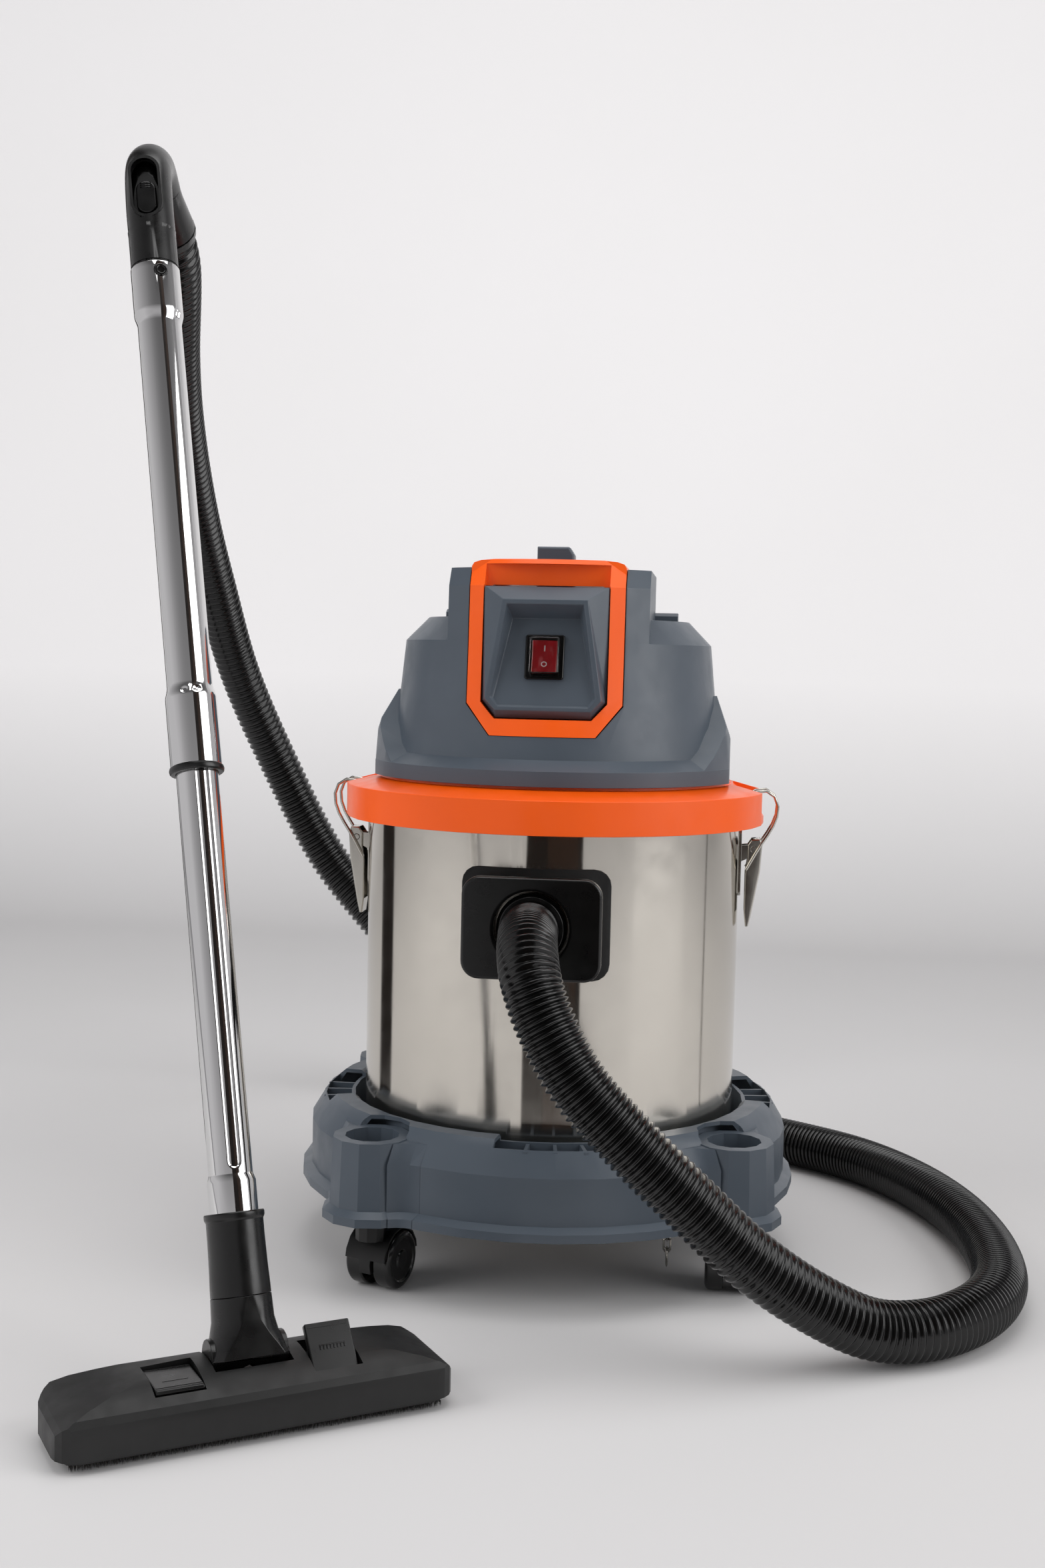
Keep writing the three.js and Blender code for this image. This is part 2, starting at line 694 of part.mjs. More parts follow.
function collarRing() {
  const skirt = COLLAR_R - 3.5;
  const shoulder = DRUM_TOP + 13;
  const under = DRUM_TOP + 0.6;
  const groove = SEAL_Z + SEAL_H + GAP;
  let body = lathe(
    [
      [46, COLLAR_TOP - 4],
      [DRUM_R - 20, COLLAR_TOP - 4],
      [DRUM_R - 12, under],
      [SEAL_R - GAP, under],
      [SEAL_R - GAP, groove],
      [SEAL_R + SEAL_WIDTH + GAP, groove],
      [SEAL_R + SEAL_WIDTH + GAP, under],
      [skirt, under],
      [skirt, DRUM_TOP - COLLAR_SKIRT],
      [COLLAR_R, DRUM_TOP - COLLAR_SKIRT],
      [COLLAR_R, shoulder],
      [HEAD_R - 1, COLLAR_TOP - 2.7],
      [HEAD_R - 7, COLLAR_TOP - 2.7],
      [HEAD_R - 7, COLLAR_TOP],
      [46, COLLAR_TOP],
    ],
    ROUND_BIG,
  );
  const half = NOTCH_WIDTH / 2;
  const [lowU, lowZ] = NOTCH_LOW;
  const [highU, highZ] = NOTCH_HIGH;
  const backing = [
    [SEAL_R + SEAL_WIDTH + 3, under],
    [skirt - 1, DRUM_TOP - 14],
    [skirt + 0.5, DRUM_TOP - 14],
    [skirt + 0.5, shoulder],
    [highU, COLLAR_TOP - 3],
    [highU, groove + 1],
    [SEAL_R + SEAL_WIDTH + 3, groove + 1],
  ];
  const slope = (highZ - lowZ) / (lowU - highU);
  const cut = [
    [lowU + 8, lowZ - 8 * slope],
    [highU, highZ],
    [highU, highZ + 12],
    [lowU + 8, highZ + 12],
  ];
  for (const turn of [0, 180]) {
    const side = at(0, 0, 0, 0, 0, turn);
    body = body.add(prismY(backing, -half - 3, half + 3, 0, side));
  }
  for (const turn of [0, 180]) {
    const side = at(0, 0, 0, 0, 0, turn);
    body = body.subtract(prismY(cut, -half, half, 0, side));
  }
  return body;
}

const SHOULDER_Z = HEAD_Z + SHOULDER_H;
const CHEEK_Z = HEAD_Z + CHEEK_H;
const FRAME_BOTTOM_Z = HEAD_Z + 41;
const FRAME_BEND_Z = HEAD_Z + 168; // where the front starts to lean back
const FRAME_TOP_Z = HEAD_Z + FRAME_TOP_H;
const LEDGE_Z = HEAD_Z + 21.5;
const BAY_LOW = BODY_WAIST_R - 21.5; // depth of the front bay's wall at its foot
const BAY_HIGH = BODY_WAIST_R - 39.5; // and from the shoulder up

// Outside of the body of revolution, as [radius, z], drawn in by an inset.
function bodyProfile(inset) {
  return [
    [BODY_R - inset, LEDGE_Z],
    [BODY_R - 8 - inset, HEAD_Z + 76],
    [BODY_WAIST_R - inset, HEAD_Z + 121],
    [BODY_WAIST_R - 3 - inset, FRAME_BEND_Z],
    [BODY_WAIST_R - 20 - inset, FRAME_TOP_Z + 4],
  ];
}

// Front outline of the carrying frame, widened by a clearance.
function frameOutline(grow, top = FRAME_TOP_Z) {
  const x = FRAME_X + grow;
  const low = FRAME_BOTTOM_Z - grow;
  return [[-45 - grow * 0.4, low], [45 + grow * 0.4, low], [x, low + 27], [x, top], [-x, top], [-x, low + 27]];
}

function panelOutline(grow) {
  const x = 53.2 + grow;
  const low = FRAME_BOTTOM_Z + FRAME_BAND + 2 - grow;
  const high = HEAD_Z + 167.5 + grow;
  return [[-41 - grow * 0.4, low], [41 + grow * 0.4, low], [x, low + 14], [x, high], [-x, high], [-x, low + 14]];
}

// The sloped band that rises along both sides of the head, seen from the side.
function wingOutline(inset) {
  const rise = [
    [98, HEAD_Z + BAND_H - 2],
    [86, LEDGE_Z],
    [72, LEDGE_Z + 9.8],
    [59, LEDGE_Z + 21],
    [41, LEDGE_Z + 34],
    [12, HEAD_Z + 76],
  ].map(([y, z]) => [y - 1.3 * inset, z]);
  return [...rise, ...rise.map(([y, z]) => [-y, z]).reverse()];
}

function headShell(inset) {
  const bandTop = HEAD_Z + BAND_H;
  const flats = box(-HEAD_FLAT + inset, HEAD_FLAT - inset, -200, 200, HEAD_Z - 1, CHEEK_Z + 20);
  const base = lathe(
    [
      [0, HEAD_Z - (inset > 0 ? 1 : 0)],
      [HEAD_R - inset, HEAD_Z - (inset > 0 ? 1 : 0)],
      [HEAD_R - inset, bandTop],
      [BODY_R - inset, LEDGE_Z],
      [0, LEDGE_Z],
    ],
    ROUND_BIG,
  ).intersect(flats);
  const [foot, ...upper] = bodyProfile(inset);
  const shoulder = lathe(
    [
      [0, LEDGE_Z - 1],
      [foot[0], LEDGE_Z - 1],
      foot,
      upper[0],
      upper[1],
      [SHOULDER_R - inset, SHOULDER_Z - inset],
      [0, SHOULDER_Z - inset],
    ],
    ROUND_BIG,
  );
  const wing = [
    [100, bandTop - 2],
    [HEAD_FLAT - inset, bandTop - 2],
    [HEAD_FLAT - inset, HEAD_Z + WING_H],
    [HEAD_FLAT - 13 - inset, HEAD_Z + 76],
    [100, HEAD_Z + 76],
  ];
  const wingSkin = lathe(
    [
      [0, bandTop - 3],
      [HEAD_R - inset, bandTop - 3],
      [HEAD_R - 3 - inset, LEDGE_Z + 20],
      [HEAD_R - 12 - inset, HEAD_Z + 76],
      [0, HEAD_Z + 76],
    ],
    ROUND_BIG,
  );
  const wings = prismY(wing, -HEAD_R, HEAD_R)
    .add(prismY(wing, -HEAD_R, HEAD_R, 0, at(0, 0, 0, 0, 0, 180)))
    .intersect(prismX(wingOutline(inset), -HEAD_R, HEAD_R))
    .intersect(wingSkin);
  const cheeks = lathe([[0, LEDGE_Z], foot, ...upper, [0, FRAME_TOP_Z + 4]], ROUND_BIG)
    .intersect(box(-CHEEK_X + inset, CHEEK_X - inset, -200, CHEEK_BACK - inset, LEDGE_Z, CHEEK_Z - inset));
  return base
    .add(shoulder)
    .add(cheeks)
    .add(wings);
}

const FRAME_BACK = 62; // rear end of the carrying frame

// The bay for the carrying frame and the switch panel, seen from the side, open at the front and the top.
function bay(inset) {
  return [
    [-200, FRAME_BOTTOM_Z - GAP + inset],
    [-BAY_LOW - inset, FRAME_BOTTOM_Z - GAP + inset],
    [-BAY_HIGH - inset, SHOULDER_Z],
    [-BAY_HIGH - inset, CHEEK_Z + 40],
    [-200, CHEEK_Z + 40],
  ];
}

function motorHousing() {
  const cavityTop = SHOULDER_Z - WALL;
  const inside = headShell(WALL).intersect(box(-200, 200, -200, 200, HEAD_Z - 2, cavityTop));
  let body = headShell(0).subtract(inside);
  const bayFloor = prismX(bay(0), -CHEEK_X, CHEEK_X).intersect(prismY(frameOutline(SEAM, CHEEK_Z + 40), -200, 0));
  const bayWall = prismX(
    [[-200, FRAME_BOTTOM_Z - 4], [4 - BAY_LOW, FRAME_BOTTOM_Z - 4], [4 - BAY_HIGH, SHOULDER_Z - 1], [-200, SHOULDER_Z - 1]],
    -FRAME_X - 4,
    FRAME_X + 4,
  ).intersect(headShell(1));
  body = body.add(bayWall).subtract(bayFloor);
  const deckX = FRAME_X + SEAM;
  body = body.subtract(box(-deckX, deckX, -BAY_HIGH - 1, FRAME_BACK + GAP, SHOULDER_Z, CHEEK_Z + 20));
  // cooling slots along both shoulders and exhaust slots at the back
  for (const side of [-1, 1]) {
    for (let i = 0; i < 6; i++) {
      const x = side * (SHOULDER_R - 14);
      body = body.subtract(box(x - 7, x + 7, -28 + i * 8, -24.5 + i * 8, cavityTop - 2, SHOULDER_Z + 2));
    }
    const hump = [[20, SHOULDER_Z - 2], [20, SHOULDER_Z + 6], [26, SHOULDER_Z + 9], [48, SHOULDER_Z + 9], [56, SHOULDER_Z - 2]];
    body = body.add(prismX(hump, side < 0 ? -108 : CHEEK_X - 1, side < 0 ? -CHEEK_X + 1 : 108));
  }
  for (let row = 0; row < 4; row++) {
    const z = HEAD_Z + 84 + row * 11;
    body = body.subtract(box(-44, 44, 110, 160, z, z + 5));
  }
  body = body.subtract(cylinder(GLAND_R + GAP, 100, 190, ROUND_SMALL, at(0, 0, GLAND_Z, -90)));
  body = body.subtract(cylinder(KNOB_BOSS_R, SHOULDER_Z - 10, SHOULDER_Z + 1, ROUND_SMALL, at(0, KNOB_Y, 0)));
  return body;
}

const GLAND_R = 9;
const CORD_R = 4.2; // bore for the power cord
const GLAND_Z = HEAD_Z + 50;
const KNOB_Y = -40;
const KNOB_BOSS_R = 6;

// A ring of four bars over the deck, with the front bar drawn down as a U round the switch panel.
function carryingFrame() {
  const skin = lathe(
    [
      ...bodyProfile(-0.6),
      [BODY_WAIST_R - 20 - FRAME_DEPTH, FRAME_TOP_Z + 4],
      [BODY_WAIST_R - 3 - FRAME_DEPTH, FRAME_BEND_Z],
      [BODY_WAIST_R - FRAME_DEPTH, HEAD_Z + 121],
      [BODY_R - 8 - FRAME_DEPTH, HEAD_Z + 76],
      [BODY_R - FRAME_DEPTH, LEDGE_Z],
    ],
    ROUND_BIG,
  );
  const front = prismY(frameOutline(0), -200, -60)
    .subtract(prismY(panelOutline(SEAM), -201, -50))
    .intersect(prismX(bay(GAP), -CHEEK_X, CHEEK_X))
    .intersect(skin);
  const bar = BODY_WAIST_R - 27.5; // front bar's foremost plane above the bend
  const inside = FRAME_X - FRAME_BAND;
  const outer = box(-FRAME_X, FRAME_X, -bar, FRAME_BACK, FRAME_BEND_Z + 1, FRAME_TOP_Z);
  const hole = box(-inside, inside, 28 - bar, FRAME_BACK - 18, SHOULDER_Z, FRAME_TOP_Z + 1);
  const lean = prismX(
    [[-200, FRAME_BEND_Z - 2], [-bar, FRAME_BEND_Z - 2], [-bar, FRAME_TOP_Z + 1], [-200, FRAME_TOP_Z + 1]],
    -FRAME_X - 1,
    FRAME_X + 1,
  );
  const feet = box(-FRAME_X, -FRAME_X + FRAME_BAND, FRAME_BACK - 18, FRAME_BACK, SHOULDER_Z + GAP, FRAME_TOP_Z - 2)
    .add(box(FRAME_X - FRAME_BAND, FRAME_X, FRAME_BACK - 18, FRAME_BACK, SHOULDER_Z + GAP, FRAME_TOP_Z - 2));
  const scoop = prismX(
    [[-200, FRAME_TOP_Z - 4], [3 - bar, FRAME_TOP_Z - 4], [15 - bar, FRAME_BEND_Z - 1], [-200, FRAME_BEND_Z - 1]],
    -inside,
    inside,
  );
  const crown = [
    [-FRAME_X - 1, LEDGE_Z],
    [FRAME_X + 1, LEDGE_Z],
    [FRAME_X + 1, FRAME_TOP_Z - 8],
    [FRAME_X - 2, FRAME_TOP_Z - 3],
    [FRAME_X - 8, FRAME_TOP_Z - 1],
    [FRAME_X - 30, FRAME_TOP_Z + 1],
    [30 - FRAME_X, FRAME_TOP_Z + 1],
    [8 - FRAME_X, FRAME_TOP_Z - 1],
    [2 - FRAME_X, FRAME_TOP_Z - 3],
    [-FRAME_X - 1, FRAME_TOP_Z - 8],
  ];
  const whole = front.add(outer.subtract(hole).subtract(lean)).add(feet).subtract(scoop.intersect(lean));
  return whole.intersect(prismY(crown, -200, 100));
}

const PANEL_LEAN = 14.6; // the switch seat leans back
const SWITCH_Z = HEAD_Z + 107.5;
const SWITCH_Y = 8 - BODY_WAIST_R; // middle of the switch seat
const BEZEL_WIDTH = 33.4;
const BEZEL_HEIGHT = 39;
const ROCKER_WIDTH = 21.5;
const ROCKER_HEIGHT = 28;
const BEZEL_DEPTH = 3;

// The switch's own axes: origin on the seat, outwards is -Y, turned to lean back.
const switchFrame = at(0, SWITCH_Y, SWITCH_Z, -PANEL_LEAN);

// A raised frame with wide bevels round a seat that sinks towards its top.
function switchPanel() {
  const seat = (z) => -SWITCH_Y - (z - SWITCH_Z) * Math.tan(rad(PANEL_LEAN));
  const plateau = (z) => BODY_WAIST_R + 2.4 - (z - SWITCH_Z) * 0.05;
  // three heights, [half width, height], from the top to the bottom
  const ringAt = (rows, lift) => {
    const [top, side, low] = rows.map(([x, h]) => [x, HEAD_Z + h]);
    const points = [[-low[0], low[1]], low, side, top, [-top[0], top[1]], [-side[0], side[1]]];
    return points.map(([x, z]) => [x, z, lift(z)]);
  };
  const edgeLift = [-3.5, -3.5, -10, -14.5, -14.5, -10];
  const edge = panelOutline(0).map(([x, z], i) => [x, z, BODY_WAIST_R + edgeLift[i]]);
  const outer = ringAt([[36, 156.3], [49.4, 72.2], [40.6, 62.7]], plateau);
  const inner = [[32.8, 152.5], [44.8, 73.7], [38.6, 65.9]];
  const floor = ringAt([[29, 140.7], [42.4, 73.2], [38, 66.7]], seat);
  const out = at(0, 0, 0, 90);
  const block = loft([[BODY_WAIST_R - 60, panelOutline(0)], [0, edge], [0, outer]], out);
  const recess = loft([[0, floor], [0, ringAt(inner, plateau)], [5, ringAt(inner, plateau)]], out);
  const hole = prismY(roundedRectangle(BEZEL_WIDTH - 6, BEZEL_HEIGHT - 6, 1, 1), -5, 40, 0, switchFrame);
  return block.intersect(prismX(bay(GAP), -CHEEK_X, CHEEK_X)).subtract(recess).subtract(hole);
}

function switchBezel() {
  const frame = prismY(roundedRectangle(BEZEL_WIDTH, BEZEL_HEIGHT, 2, 2), -BEZEL_DEPTH - GAP, -GAP, 0.8);
  const can = prismY(roundedRectangle(BEZEL_WIDTH - 7, BEZEL_HEIGHT - 7, 1, 1), -GAP - 0.5, 12);
  const hollow = prismY(roundedRectangle(ROCKER_WIDTH + 1, ROCKER_HEIGHT + 1, 1, 1), -20, 9);
  return frame.add(can).subtract(hollow);
}

// The rocker turns about X through its own origin.
function switchRocker() {
  const half = ROCKER_HEIGHT / 2;
  const side = [[-3.4, half], [2, half - 1], [5.5, 4], [5.5, -4], [2, -half + 1], [-5.6, -half], [-2.6, 0]];
  return prismX(side, -ROCKER_WIDTH / 2, ROCKER_WIDTH / 2, 0.5);
}

function topKnob() {
  const low = SHOULDER_Z + GAP;
  const high = HEAD_Z + 206;
  const side = [[-16.5, low], [16.5, low], [16.5, high - 7], [12, high], [-16.5, high]];
  const stem = cylinder(KNOB_BOSS_R - GAP, SHOULDER_Z - 8, low + 1, ROUND_SMALL);
  return prismY(side, -11, 11, 1.5).add(stem);
}

function motorBody() {
  return lathe(
    [
      [0, 0],
      [MOTOR_R, 0],
      [MOTOR_R, 34],
      [MOTOR_R - 18, 38],
      [MOTOR_R - 18, 92],
      [MOTOR_R - 34, MOTOR_H],
      [0, MOTOR_H],
    ],
    ROUND_MID,
  )
    .subtract(cylinder(FAN_R + 2, 2.5, 30, ROUND_MID))
    .subtract(cylinder(30, -1, 4, ROUND_MID))
    .add(cylinder(SHAFT_R, 4, 34, ROUND_SMALL));
}

const FAN_Z = 24; // fan plate above the motor's foot

function motorFan() {
  let fan = ring(FAN_R, SHAFT_R + RUN, 0, 1.6, ROUND_MID).add(ring(12, SHAFT_R + RUN, -14, 1, ROUND_SMALL));
  for (let a = 0; a < 360; a += 60) {
    fan = fan.add(box(13, FAN_R - 1, -0.8, 0.8, -14, 1, at(0, 0, 0, 0, 0, a)));
  }
  return fan;
}

// A cage hung below the collar plate: a flange, a floor and six ribs.
function floatCage() {
  const low = -CAGE_H;
  let cage = ring(CAGE_R + 34, BALL_SEAT_R, -WALL, 0, ROUND_MID)
    .add(ring(CAGE_R, CAGE_R - WALL, -16, -1, ROUND_MID))
    .add(ring(CAGE_R, CAGE_DRAIN_R, low, low + WALL, ROUND_MID));
  for (let a = 30; a < 360; a += 60) {
    cage = cage.add(box(CAGE_R - WALL, CAGE_R - 0.3, -3, 3, low + 1, -2, at(0, 0, 0, 0, 0, a)));
  }
  return cage;
}

// ---------- wand and nozzle, stations measured along the wand from the elbow's axle ----------
function nozzleElbow() {
  const half = ELBOW_WIDTH / 2;
  const flare = [
    [0, -2],
    [half + 3.2, -2],
    [half + 0.5, 5],
    [half - 3.4, 14],
    [half - 5.6, 24],
    [NECK_R + 0.8, ELBOW_H],
    [0, ELBOW_H],
  ];
  const bell = lathe(flare, ROUND_MID + 8).intersect(box(-half, half, -ELBOW_R, ELBOW_R, -20, ELBOW_H));
  const barrel = cylinder(14, -half, half, ROUND_MID, at(0, 0, 0, 0, 90));
  const spigot = cylinder(SWAGE_R - GAP, ELBOW_H - 1, ELBOW_H + 14, ROUND_MID);
  return bell.add(barrel).add(spigot).subtract(cylinder(12, -40, ELBOW_H + 20, ROUND_MID));
}

function nozzleSocket() {
  const low = ELBOW_H + GAP;
  return lathe(
    [
      [SWAGE_R + GAP, low],
      [NECK_R + 0.8, low],
      [NECK_R, low + 20],
      [NECK_R - 0.4, SOCKET_TOP - 5],
      [NECK_R + 0.8, SOCKET_TOP - 4],
      [NECK_R + 0.8, SOCKET_TOP],
      [SWAGE_R + GAP, SOCKET_TOP],
    ],
    ROUND_MID,
  );
}

function lowerTube() {
  const start = ELBOW_H + 15;
  const end = UPPER_START + TUBE_INSERT;
  return lathe(
    [
      [SWAGE_R, start],
      [SWAGE_R, SWAGE_TOP],
      [TUBE_R, SWAGE_TOP + 5],
      [TUBE_R, end],
      [TUBE_R - TUBE_WALL, end],
      [TUBE_R - TUBE_WALL, SWAGE_TOP + 5],
      [SWAGE_R - TUBE_WALL, SWAGE_TOP],
      [SWAGE_R - TUBE_WALL, start],
    ],
    ROUND_MID,
  );
}

function tubeCollar() {
  const top = UPPER_START - GAP;
  return lathe(
    [
      [TUBE_R + GAP, top - TUBE_COLLAR_H],
      [SOCKET_R + 1, top - TUBE_COLLAR_H],
      [SOCKET_R + 1.4, top],
      [SOCKET_R - 1 - GAP, top],
      [SOCKET_R - 1 - GAP, top + 40],
      [TUBE_R + GAP, top + 40],
    ],
    ROUND_MID,
  );
}

const BUTTON_S = UPPER_END - 9;
const BUTTON_TURN = -3; // the button's side of the wand, from the front
const BUTTON_R = 5.3;

function upperTube() {
  const t = TUBE_WALL;
  const outer = [
    [SOCKET_R, UPPER_START],
    [SOCKET_R, UPPER_START + 55],
    [UPPER_R, UPPER_START + 61],
    [UPPER_R, UPPER_END - 48],
    [SOCKET_R, UPPER_END - 41],
    [SOCKET_R, UPPER_END],
  ];
  const inner = outer.map(([r, s]) => [r - t, s]).reverse();
  return lathe([...outer, ...inner], ROUND_MID)
    .subtract(cylinder(BUTTON_R + GAP, 10, 30, ROUND_SMALL, buttonFrame));
}

// Origin on the wand's axis at the button, +Z out through the button.
const buttonFrame = at(0, 0, BUTTON_S, 90).premultiply(at(0, 0, 0, 0, 0, BUTTON_TURN));
const BUTTON_SEAT = 15; // floor of the button's bore in the handle's spigot
const BUTTON_TRAVEL = 3;

function lockButton() {
  const floor = BUTTON_SEAT + BUTTON_TRAVEL + GAP;
  return cylinder(BUTTON_R, floor, SOCKET_R - 1, ROUND_SMALL, buttonFrame)
    .add(lathe([[0, SOCKET_R - 2], [BUTTON_R, SOCKET_R - 2], [BUTTON_R, SOCKET_R + 1], [3, SOCKET_R + 2.2], [0, SOCKET_R + 2.4]], ROUND_SMALL, buttonFrame));
}

const GRIP_PATH = [
  [0, 0, 2],
  [0, 0, 30],
  [0, 0, 60],
  [0, 12, 96],
  [0, 40, 117],
  [0, 76, 114],
  [0, 112, 102],
];
const GRIP_DROP = 16; // fall of the rear end below level
const SLIDER_S = 66;
const SLIDER_TRAVEL = 16;

// Origin at the grip's rear end, +Z along the hose.
const gripEnd = at(...GRIP_PATH.at(-1), -90 - GRIP_DROP);

function gripHandle() {
  const spigot = SOCKET_R - TUBE_WALL - RUN;
  const bore = GRIP_R - 3.5;
  const inside = GRIP_PATH.slice(1, -1);
  let body = tube(GRIP_PATH, GRIP_R, 12, 12)
    .add(lathe([[0, -40], [spigot, -40], [spigot, GAP], [UPPER_R + 0.6, GAP], [UPPER_R + 0.6, 20], [GRIP_R - 0.5, 34], [0, 34]], ROUND_MID))
    .add(lathe([[0, -46], [GRIP_R - 0.5, -46], [CUFF_R - 3, 0], [0, 0]], ROUND_MID, gripEnd));
  body = body
    .subtract(tube([[0, 0, -20], ...inside, [0, 109, 103]], bore, 10, 12))
    .subtract(cylinder(bore, -60, 34, ROUND_MID))
    .subtract(cylinder(bore, -20, 10, ROUND_MID, gripEnd))
    .subtract(cylinder(HOSE_R - 4 + GAP, -12, 10, ROUND_MID, gripEnd));
  const pocket = roundedRectangle(21, 50, 10, 3);
  const seat = GRIP_R - 8;
  body = body
    .add(prismY(roundedRectangle(25, 56, 6, 2).map(([x, z]) => [x, z + SLIDER_S]), -seat, -seat + 7).intersect(cylinder(GRIP_R - 1, 0, 100, ROUND_MID)))
    .subtract(prismY(pocket.map(([x, z]) => [x, z + SLIDER_S]), -GRIP_R - 20, -seat));
  const buttonBore = grippedButton();
  const boss = cylinder(BUTTON_R + 3, BUTTON_SEAT - 2, spigot, ROUND_SMALL, buttonBore)
    .intersect(cylinder(spigot - 0.2, -40, GAP, ROUND_MID));
  return body
    .add(boss)
    .subtract(cylinder(BUTTON_R + GAP, BUTTON_SEAT, 40, ROUND_SMALL, buttonBore));
}

// The button's frame seen from the handle, which is turned about the wand and starts at its end.
function grippedButton() {
  return buttonFrame.clone().premultiply(at(0, 0, -UPPER_END, 0, 0, 0)).premultiply(at(0, 0, 0, 0, 0, -GRIP_TWIST));
}

function airSlider() {
  const seat = GRIP_R - 8 + GAP;
  const low = SLIDER_S - 8;
  const pad = roundedRectangle(17, 30, 7, 3).map(([x, z]) => [x, z + low]);
  return prismY(pad, -seat - 5.5, -seat, 1);
}

function gripCuff() {
  return lathe(
    [
      [HOSE_R - 4, -11.6],
      [HOSE_R - 9, -11.6],
      [HOSE_R - 9, 8],
      [CUFF_R - 3, 8],
      [CUFF_R - 2, GAP],
      [HOSE_R - 4, GAP],
    ],
    ROUND_MID,
  );
}

function nozzleBody() {
  const half = NOZZLE_WIDTH / 2;
  const front = -NOZZLE_FRONT;
  const back = NOZZLE_BACK;
  const low = NOZZLE_BASE_Z;
  const top = NOZZLE_TOP_Z;
  const side = [
    [front, low],
    [front, 26],
    [front + 1.2, 31],
    [front + 4.5, 35.5],
    [front + 12, 39.8],
    [front + 22, 43.5],
    [front + 34, 46],
    [front + 45, top],
    [back - 26, top],
    [back - 16, 44.5],
    [back - 8, 39],
    [back - 2, 32],
    [back, 26],
    [back, low],
  ];
  // seen from the front: a flat middle that falls away in a curve to both ends
  const fall = [
    [half, low],
    [half, 21],
    [half - 1.2, 26],
    [half - 4.5, 30.5],
    [half - 12, 35],
    [half - 24, 39],
    [half - 42, 42.8],
    [half - 64, 45.4],
    [half - 100, top],
  ];
  const crown = [...fall, ...fall.map(([x, z]) => [-x, z]).reverse()];
  const plan = [
    ...arc(half - 16, front + 16, 16, -90, 0, 4),
    ...arc(half - 26, back - 26, 26, 0, 90, 4),
    ...arc(-half + 26, back - 26, 26, 90, 180, 4),
    ...arc(-half + 16, front + 16, 16, 180, 270, 4),
  ];
  // the underside is hollow between ribs
  const endX = half - 14;
  const roof = 26;
  let body = prismX(side, -half, half).intersect(prismY(crown, -80, 80)).intersect(prism(plan, 0, 80));
  body = body.subtract(box(-endX, endX, front + 12, -23, 0, roof));
  body = body.subtract(box(-endX, endX, 14, back - 10, 0, 22));
  body = body.subtract(box(-endX, -36, -24, 15, 0, roof)).subtract(box(36, endX, -24, 15, 0, roof));
  body = body.subtract(box(-26, 26, -24, 15, 0, 30));
  // room for the elbow's barrel and for its neck as it leans back
  const slot = ELBOW_WIDTH / 2 + 0.5;
  const room = ELBOW_R + 0.6;
  body = body.subtract(cylinder(room, -slot, slot, ROUND_MID, at(0, 0, PIVOT_Z, 0, 90)));
  const sweep = [[-room, PIVOT_Z - 2], [-room, 80], [80, 80], [80, 48], [back + 6, 36], [30, 29], [16, 24], [0, 30]];
  body = body.subtract(prismX(sweep, -slot, slot));
  // pedal pockets, deeper under the noses
  const pocketX = PEDAL_WIDTH / 2 + 0.8;
  const pocketFront = PEDAL_HINGE - PEDAL_NOSE - 1;
  for (const x of [-PEDAL_X, PEDAL_X]) {
    const [x0, x1] = [x - pocketX, x + pocketX];
    body = body.subtract(box(x0, x1, pocketFront, PEDAL_HINGE + PEDAL_TAIL + 1, PEDAL_Z - 3.1, 80));
    body = body.subtract(box(x0, x1, pocketFront, PEDAL_HINGE + 3, PEDAL_Z - 11, 80));
  }
  return body;
}

const PEDAL_HINGE = -24; // hinge line of the pedals
const PEDAL_Z = 41;

// A pedal see-saws on its hinge, which is its own origin.
function pedal() {
  const r = PEDAL_THICK / 2;
  const outline = [...arc(r - PEDAL_NOSE, 0, r, 90, 270, 4), [PEDAL_TAIL, -r], [PEDAL_TAIL, r]];
  return prismX(outline, -PEDAL_WIDTH / 2, PEDAL_WIDTH / 2, 0.6);
}

function nozzleSole() {
  const half = NOZZLE_WIDTH / 2 - 5;
  const sole = box(-half, half, -NOZZLE_FRONT + 4, NOZZLE_BACK - 4, NOZZLE_BASE_Z - 3 - GAP, NOZZLE_BASE_Z - GAP);
  const slots = box(-half + 14, half - 14, -10, 4, 0, 20);
  const middle = (NOZZLE_BACK - NOZZLE_FRONT) / 2;
  const plan = roundedRectangle(2 * half, NOZZLE_FRONT + NOZZLE_BACK - 8, 12, 2).map(([x, y]) => [x, y + middle]);
  return sole
    .intersect(prism(plan, 0, 20))
    .subtract(slots);
}

function bristles(y) {
  const half = BRISTLE_WIDTH / 2;
  return box(-half, half, y - 2.5, y + 2.5, 0, NOZZLE_BASE_Z - 3 - 2 * GAP);
}

// ---------- assembly ----------
const vacuum = new THREE.Group();
const machine = group(vacuum);

const trolley = group(machine, 0, 0, 0, [0, 0, DOLLY_YAW]);
piece(group(trolley, 0, 0, DOLLY_Z), "dolly", dollyBody(), "slate");
const casterTurn = { front_left: -118, front_right: -97, rear_right: -60, rear_left: 20 };
for (const [name, angle] of Object.entries(lobeAngles)) {
  const x = LOBE_DISTANCE * Math.cos(rad(angle));
  const y = LOBE_DISTANCE * Math.sin(rad(angle));
  caster(group(trolley, x, y, 0, [0, 0, casterTurn[name]]), name);
}
piece(group(machine, CHAIN_R * Math.cos(CHAIN_TURN), CHAIN_R * Math.sin(CHAIN_TURN), 0), "earthing_chain", earthingChain(), "steel");

piece(group(machine, 0, 0, DRUM_Z), "drum", drumBody(), "steel");
inlet(group(machine, 0, 0, INLET_Z));

